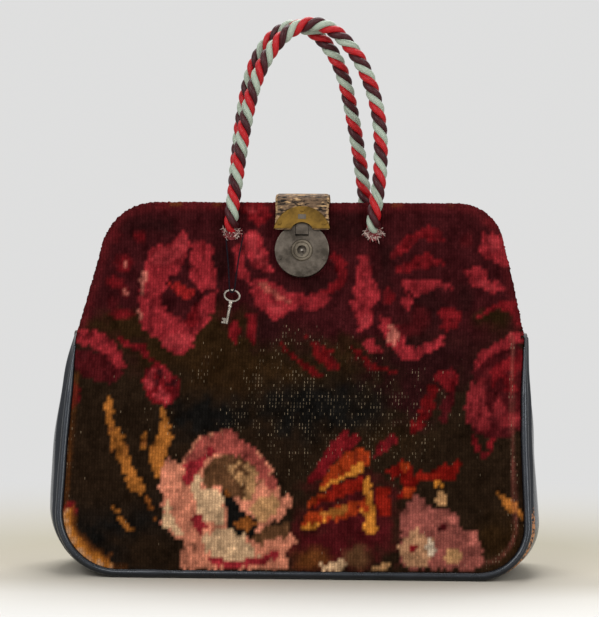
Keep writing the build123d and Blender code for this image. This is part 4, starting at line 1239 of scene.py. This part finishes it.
def lining_piece():
    """Cloth lining inside the carpet and the gusset, open at the hinge."""
    turn = np.linspace(-1, 1, lining_bands)
    halves = [outline(lining_gap, foot_corner=corner) for corner in (left_foot_corner, piping_corner)]
    foot = halves[0][0, 1]
    rise = foot + (hinge_height - tab_radius - foot) * np.linspace(0, 1, lining_rows) ** 2
    points = []
    for z in rise:
        ends, sides = [], []
        for way, half, corner in ((-1, halves[0], left_foot_corner), (1, halves[1], piping_corner)):
            half = half[np.flatnonzero(half[:, 1] <= foot)[-1]:]
            ends.append(way * np.interp(z, half[:, 1], half[:, 0]))
            tilt = np.clip((foot + corner - lining_gap - z) / (corner - lining_gap), 0, 1)
            bulge = max(side_bulge(z / hinge_height, way) - lining_gap, 0) * (1 - tilt**2)
            sides.append(ends[-1] + way * bulge * (1 - np.abs(turn) ** 3.2))
        x = np.linspace(ends[0], ends[1], lining_bands)
        face = face_depth(x, np.full(lining_bands, z)) - lining_gap
        loop = [(x, -face), (sides[1], face[-1] * turn), (x[::-1], face[::-1]), (sides[0], -face[0] * turn)]
        for across, depth in loop:
            flat = np.stack([across + drift(z), depth, np.full(lining_bands, z)], axis=1)
            points.append(flat[:-1])
    ring = 4 * (lining_bands - 1)
    faces = [tuple(range(ring))[::-1]] + grid_faces(lining_rows, ring, closed=True)
    return add_piece("lining_bag", np.concatenate(points), faces, lining_cloth)


def piping_piece(name, side):
    """Rolled leather edge along one seam, thinner towards the hinge."""
    line, _ = seam_line()
    line = line[line[:, 1] < hinge_height - piping_stop * 0.5]
    path = np.stack([line[:, 0] + drift(line[:, 1]), side * seam_depth(line[:, 1]), line[:, 1]], axis=1)
    taper = np.clip((hinge_height - path[:, 2]) / piping_taper, 0.35, 1)
    radius = piping_radius * taper * (1 + 0.05 * soft_noise(path, piping_wave, 31))
    points, faces, places = tube(path, radius, 16)
    points[:, 2] = np.maximum(points[:, 2], floor_clear)
    return add_piece(name, points, faces, piping_leather, places)


def hinge_head(name, side):
    """Low domed rivet head on the gusset's tab."""
    start = side * (rim_side_half - head_sink) + float(drift(hinge_height))
    path = np.array([(start + side * step, 0, hinge_height) for step, _ in head_profile])
    radius = np.array([share for _, share in head_profile]) * head_radius
    points, faces, places = tube(path, radius, 20)
    return add_piece(name, points, faces, frame_steel, places)


gusset = gusset_piece()
dress(gusset, "bag", "gusset_leather", "gusset")
cloth = lining_piece()
dress(cloth, "bag", "lining_cloth", "lining")
for end_name, side in (("front", -1), ("back", 1)):
    roll = piping_piece(f"{end_name}_piping_roll", side)
    dress(roll, "bag", "piping_leather", f"{end_name}_piping")
for end_name, side in (("left", -1), ("right", 1)):
    head = hinge_head(f"hinge_head_{end_name}", side)
    dress(head, "bag", "frame_steel", f"hinge_rivet_{end_name}")


# Rope handles
strand_radius = 0.0031
strand_offset = 0.00335
rope_lay = 0.0285
front_anchor = (-0.0251705, 0.299205)
back_anchor = (0.0251322, 0.299205)
front_rise = (0.099269, 0.995061)
back_rise = (-0.099064, 0.995081)
# Routes and turned-in ends are in millimetres across and up the jaw
front_route = [
    (-62.5, 0), (-58.5, 47), (-51, 102), (-41, 142.5), (-23, 173), (-2, 187), (17, 187),
    (35, 175), (53.5, 150), (67.5, 108), (69.5, 62), (65, 27), (63, 0),
]
back_route = [
    (-65, 0), (-62.5, 47), (-57.5, 96), (-50.5, 136), (-40, 164), (-22, 183.5), (-2, 188),
    (17.5, 174.5), (33.5, 149), (42.5, 110), (50.5, 64), (55, 29), (56, 0),
]
handles = (
    ("front", -1, front_route, front_anchor, front_rise),
    ("back", 1, back_route, back_anchor, back_rise),
)
rope_turn_in = ((5, 15), (6, 9), (9, 2.5), (17, 0))
millimetre = 0.001


def rope_piece(name, route, anchor, rise, side):
    """Three strands laid round each other along a handle's route, with both ends turned into the carpet."""
    def on_plane(across, up, sink=0.0):
        y, z = anchor
        up = up * millimetre
        return (across * millimetre, y + rise[0] * up - side * sink * millimetre, z + rise[1] * up)

    (left, _), (right, _) = route[0], route[-1]
    places = [on_plane(left, up, sink) for up, sink in rope_turn_in]
    places += [on_plane(across, up) for across, up in route[1:-1]]
    places += [on_plane(right, up, sink) for up, sink in rope_turn_in[::-1]]
    path = route_line(places)
    across, beside = carried_frames(path)
    run = run_along(path)
    strands = Bundle()
    for strand in range(3):
        turn = -2 * math.pi * run / rope_lay + 2 * math.pi * strand / 3
        centre = path + strand_offset * (np.cos(turn)[:, None] * across + np.sin(turn)[:, None] * beside)
        strands.add(centre, strand_radius, 12, strand)
    return strands.piece(name, [rope_red, rope_maroon, rope_pale]), path


for end_name, side, route, anchor, rise in handles:
    rope, path = rope_piece(f"{end_name}_rope", route, anchor, rise, side)
    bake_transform(rope)
    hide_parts(f"{end_name}_handle")


# Key string
key_x = -0.0608
anchor_height = 0.298
string_radius = 0.0006
string_stand = 0.00185
string_step = 0.00685
string_hang = 0.0489
string_steps = 12
string_lean = math.atan2(string_step, string_hang)
string_route = [
    (-6.5, -4), (-4.6, -20), (-3.3, -34), (-2.7, -43), (-2.4, -49.5), (-1.2, -53),
    (1.2, -53), (2.4, -49.5), (2.9, -43), (3.9, -33), (5.6, -18), (8.5, -2),
]


def string_piece():
    """Thin doubled string from the left eyelet through the bow of the key."""
    outward = np.array([0, -lean_cos, lean_sin])
    upward = np.array([0, lean_sin, lean_cos])
    upward = upward * math.cos(string_lean) - outward * math.sin(string_lean)
    start = np.array([key_x, -float(face_depth(np.array(key_x), np.array(anchor_height))), anchor_height])
    start = start + outward * string_stand
    places = []
    for across, up in string_route:
        places.append(start + np.array([across * millimetre, 0, 0]) + upward * up * millimetre)
    piece = add_route("key_string_line", places, string_steps)
    piece.data.bevel_depth = string_radius
    piece.data.bevel_resolution = 3
    piece.data.materials.append(black_string)
    return piece, tuple(places[0])


string, string_exit = string_piece()
dress(string, "front_jaw", "string", "key_string")


# Frayed stitching round the rope ends
eyelet_radius = 0.0095
eyelet_height = 0.0012
fray_count = 150
fray_reach = 0.0027
fray_radius = 0.0004
fray_rise = 0.0042


def eyelet_piece(name, places, side, seed):
    """Matted, frayed threads round each rope end."""
    chance = np.random.default_rng(seed)
    threads = Bundle()
    sideways = np.array([1.0, 0, 0])
    outward = np.array([0, side * lean_cos, lean_sin])
    upward = np.array([0, -side * lean_sin, lean_cos])
    for x in places:
        depth = float(face_depth(np.array(x), np.array(anchor_height)))
        middle = np.array([x, side * depth, anchor_height]) + upward * fray_rise
        for _ in range(fray_count):
            turn = chance.uniform(0, 2 * math.pi)
            ring = eyelet_radius * chance.uniform(0.5, 0.8)
            around = math.cos(turn) * sideways + (math.sin(turn) * 0.6 - 0.2) * upward
            start = middle + around * ring
            curl = sideways * chance.normal() + upward * (chance.normal() - 0.5)
            reach = fray_reach * chance.uniform(0.3, 1)
            lift = outward * eyelet_height * chance.uniform(0.5, 2.4)
            bend = chance.normal(size=3) * fray_reach * 0.25
            path = [
                start - outward * 0.4 * eyelet_height,
                start + lift + curl * reach * 0.35,
                start + lift * 0.8 + curl * reach * 0.7 + bend,
                start + lift * 0.3 + curl * reach + bend,
            ]
            radius = fray_radius * chance.uniform(0.6, 1.2)
            threads.add(path, radius, 5, int(chance.uniform() < 0.35))
    return threads.piece(name, [fray_thread, fray_red])


for (end_name, side, route, _, _), seed in zip(handles, (3, 4)):
    places = [route[end][0] * millimetre for end in (0, -1)]
    fray = eyelet_piece(f"{end_name}_fray", places, side, seed)
    dress(fray, f"{end_name}_jaw", "stitching", f"{end_name}_eyelets")


# Hasp strap, from the lock over the top and down the back
lock_height = 0.284
strap_half_width = 0.0235
strap_thick = 0.0026
strap_inner = 0.0061
strap_end = 0.018
strap_rise = 0.0054
hasp_axis_depth = 0.015
root_reach = 0.039
notch_radius = 0.0097
notch_level = 0.0162
notch_fade = 0.011
strap_columns = 41
strap_waver = 0.012
strap_wave = 0.0033
strap_rim = 0.9
bend_start = 0.0075
bend_low = 0.003
bend_in = 0.0006
bend_over = 0.0042
bend_drop = 0.0008
top_start = 0.009
top_end = 0.004
back_drop = 0.0015
root_start = 0.001
root_lie = 0.012


def strap_piece():
    """Leather strap with worn edges, one piece from its notch over the jaws to its fixed end."""
    lock_depth = float(face_depth(np.array(0.0), np.array(lock_height)))
    outward = np.array([-lean_cos, lean_sin])
    upward = np.array([lean_sin, lean_cos])
    face = np.array([-lock_depth, lock_height]) + outward * (strap_inner + strap_thick / 2)
    top_z = bag_top + strap_rise + strap_thick / 2
    root = np.array([float(face_depth(np.array(0.0), np.array(bag_top))), bag_top])
    root = root + np.array([lean_cos, lean_sin]) * strap_thick / 2
    down = np.array([lean_sin, -lean_cos])
    foot = face + upward * strap_end
    corner = face + upward * ((top_z - face[1]) / lean_cos)
    profile = [
        foot,
        0.5 * (foot + corner),
        corner - upward * bend_start,
        corner - upward * bend_low + (bend_in, 0),
        corner + (bend_over, -bend_drop),
        corner + (top_start, 0),
        (0.0, top_z),
        (hasp_axis_depth - top_end, top_z),
        (hasp_axis_depth, top_z - back_drop),
        root + down * root_start,
        root + down * root_lie,
        root + down * root_reach,
    ]
    line = route_line([(0, y, z) for y, z in profile])[:, 1:]
    run = run_along(line)
    tangent = unit(np.gradient(line, axis=0))
    columns = np.linspace(-1, 1, strap_columns)
    x = columns * strap_half_width
    dip = np.sqrt(np.maximum(notch_radius**2 - x**2, 0)) + notch_level - strap_end
    dip = np.where(np.abs(x) < notch_radius, np.maximum(dip, 0), 0)
    along = run[:, None] + dip * np.clip(1 - run[:, None] / notch_fade, 0, 1)
    waver = 1 + strap_waver * np.sin(run[:, None] / strap_wave) * np.abs(columns)
    rim = np.clip((np.abs(columns) - strap_rim) / (1 - strap_rim), 0, 1)
    points = []
    for layer in (1, -1):
        away = layer * strap_thick / 2 * (1 - 0.75 * rim)
        y = np.interp(along, run, line[:, 0]) + away * np.interp(along, run, tangent[:, 1])
        z = np.interp(along, run, line[:, 1]) - away * np.interp(along, run, tangent[:, 0])
        points += list(np.stack([x * waver, y, z], axis=2).reshape(-1, 3))
    edges = np.tile(np.clip(1.6 * rim, 0, 1), 2 * len(line))
    width = len(columns)
    layer_size = len(line) * width
    faces = grid_faces(len(line), width, flip=True)
    faces += [tuple(layer_size + k for k in face) for face in grid_faces(len(line), width)]
    border = list(range(width))
    border += [k * width + width - 1 for k in range(1, len(line))]
    border += [(len(line) - 1) * width + c for c in range(width - 2, -1, -1)]
    border += [k * width for k in range(len(line) - 2, 0, -1)]
    for a, b in zip(border, border[1:] + border[:1]):
        faces.append((a, b, b + layer_size, a + layer_size))
    piece = add_piece("hasp_strap_leather", points, faces, strap_leather)
    wear = piece.data.attributes.new("edge", "FLOAT", "POINT")
    wear.data.foreach_set("value", edges)
    return piece


strap = strap_piece()
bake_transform(strap)
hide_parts("hasp_strap", "strap_root")


# Floor, background and light
background = (0.735, 0.735, 0.733)
floor_half = 8.0
floor_fade_start = 0.3
floor_fade_end = 0.85
floor_near = -0.4
floor_far = 0.8
world_light = 0.33
lamp_aim = (0, 0, 0.2)
# Lamps: name, place and size in metres, power in watts
lamps = [
    ("key_lamp", (-0.9, -1.7, 1.7), (1.4, 1.0), 25),
    ("fill_lamp", (1.3, -1.6, 1.2), (1.2, 1.2), 14),
    ("top_lamp", (0, 0.65, 2.1), (1.4, 0.9), 34),
    ("back_lamp", (0.4, 1.8, 1.7), (1.4, 1.0), 14),
    ("left_strip", (-1.3, -1.3, 0.55), (0.12, 1.3), 3),
    ("right_strip", (1.2, -1.4, 0.55), (0.12, 1.3), 4.5),
]


def seen_rays(tree):
    """One for the rays that show the background: from the camera, from shiny and through clear surfaces."""
    path = tree.nodes.new("ShaderNodeLightPath").outputs
    total = path["Is Camera Ray"]
    for name in ("Is Glossy Ray", "Is Transmission Ray"):
        either = tree.nodes.new("ShaderNodeMath")
        either.operation = "MAXIMUM"
        tree.links.new(total, either.inputs[0])
        tree.links.new(path[name], either.inputs[1])
        total = either.outputs[0]
    return total


def floor_surface():
    """Pale floor with painted shadow, darker and warmer under and behind the bag, that fades into the
    background further out.
    """
    s = Surface("pale_floor", (0.72, 0.72, 0.71), 0.9)
    s.set(specular_ior_level=0.1)
    place = s.place()
    apart = s.node("ShaderNodeSeparateXYZ", {0: place})
    ramp = s.node("ShaderNodeValToRGB", {0: s.span(apart.outputs[1], floor_near, floor_far)})
    # Painted shadow: a darker band of floor colour under and behind the bag
    painted_shadow_stops = [(0.1, (0.72, 0.71, 0.68)), (0.2, (0.64, 0.62, 0.575)), (0.27, (0.5, 0.465, 0.4)),
             (0.34, (0.475, 0.435, 0.36)), (0.5, (0.45, 0.42, 0.335)), (0.64, (0.48, 0.45, 0.375)),
             (1.0, (0.53, 0.53, 0.52))]
    line = ramp.color_ramp
    line.elements[0].position, line.elements[1].position = painted_shadow_stops[0][0], painted_shadow_stops[-1][0]
    for place_at, _ in painted_shadow_stops[1:-1]:
        line.elements.new(place_at)
    for element, (_, colour) in zip(line.elements, painted_shadow_stops):
        element.color = (*colour, 1)
    s.link("Base Color", ramp.outputs[0])
    reach = s.node("ShaderNodeVectorMath", {0: place}, operation="LENGTH").outputs["Value"]
    far = s.math("MULTIPLY", s.span(reach, floor_fade_start, floor_fade_end), seen_rays(s.tree))
    glow = s.node("ShaderNodeEmission", {"Color": (*background, 1)})
    both = s.node("ShaderNodeMixShader", {0: far, 1: s.shader.outputs[0], 2: glow.outputs[0]})
    s.tree.links.new(both.outputs[0], s.tree.nodes["Material Output"].inputs["Surface"])
    return s.material


def add_floor():
    """Flat floor."""
    corners = [(x * floor_half, y * floor_half, 0) for x, y in ((-1, -1), (1, -1), (1, 1), (-1, 1))]
    add_piece("floor", corners, [(0, 1, 2, 3)], floor_surface())


def add_world():
    """White light from all round behind a pale background."""
    world = bpy.data.worlds.new("studio")
    world.use_nodes = True
    tree = world.node_tree
    light = tree.nodes["Background"]
    light.inputs["Color"].default_value = (1, 1, 1, 1)
    light.inputs["Strength"].default_value = world_light
    backing = tree.nodes.new("ShaderNodeBackground")
    backing.inputs["Color"].default_value = (*background, 1)
    both = tree.nodes.new("ShaderNodeMixShader")
    tree.links.new(seen_rays(tree), both.inputs[0])
    tree.links.new(light.outputs[0], both.inputs[1])
    tree.links.new(backing.outputs[0], both.inputs[2])
    tree.links.new(both.outputs[0], tree.nodes["World Output"].inputs["Surface"])
    bpy.context.scene.world = world


def add_lamp(name, place, size, power):
    """Large soft lamp turned to the bag."""
    data = bpy.data.lights.new(name, "AREA")
    data.shape = "RECTANGLE"
    data.size, data.size_y = size
    data.energy = power
    lamp = bpy.data.objects.new(name, data)
    lamp.location = place
    lamp.rotation_euler = (Vector(lamp_aim) - Vector(place)).to_track_quat("-Z", "Y").to_euler()
    bpy.context.scene.collection.objects.link(lamp)


add_floor()
add_world()
for lamp in lamps:
    add_lamp(*lamp)
bpy.context.scene.view_settings.view_transform = "Standard"
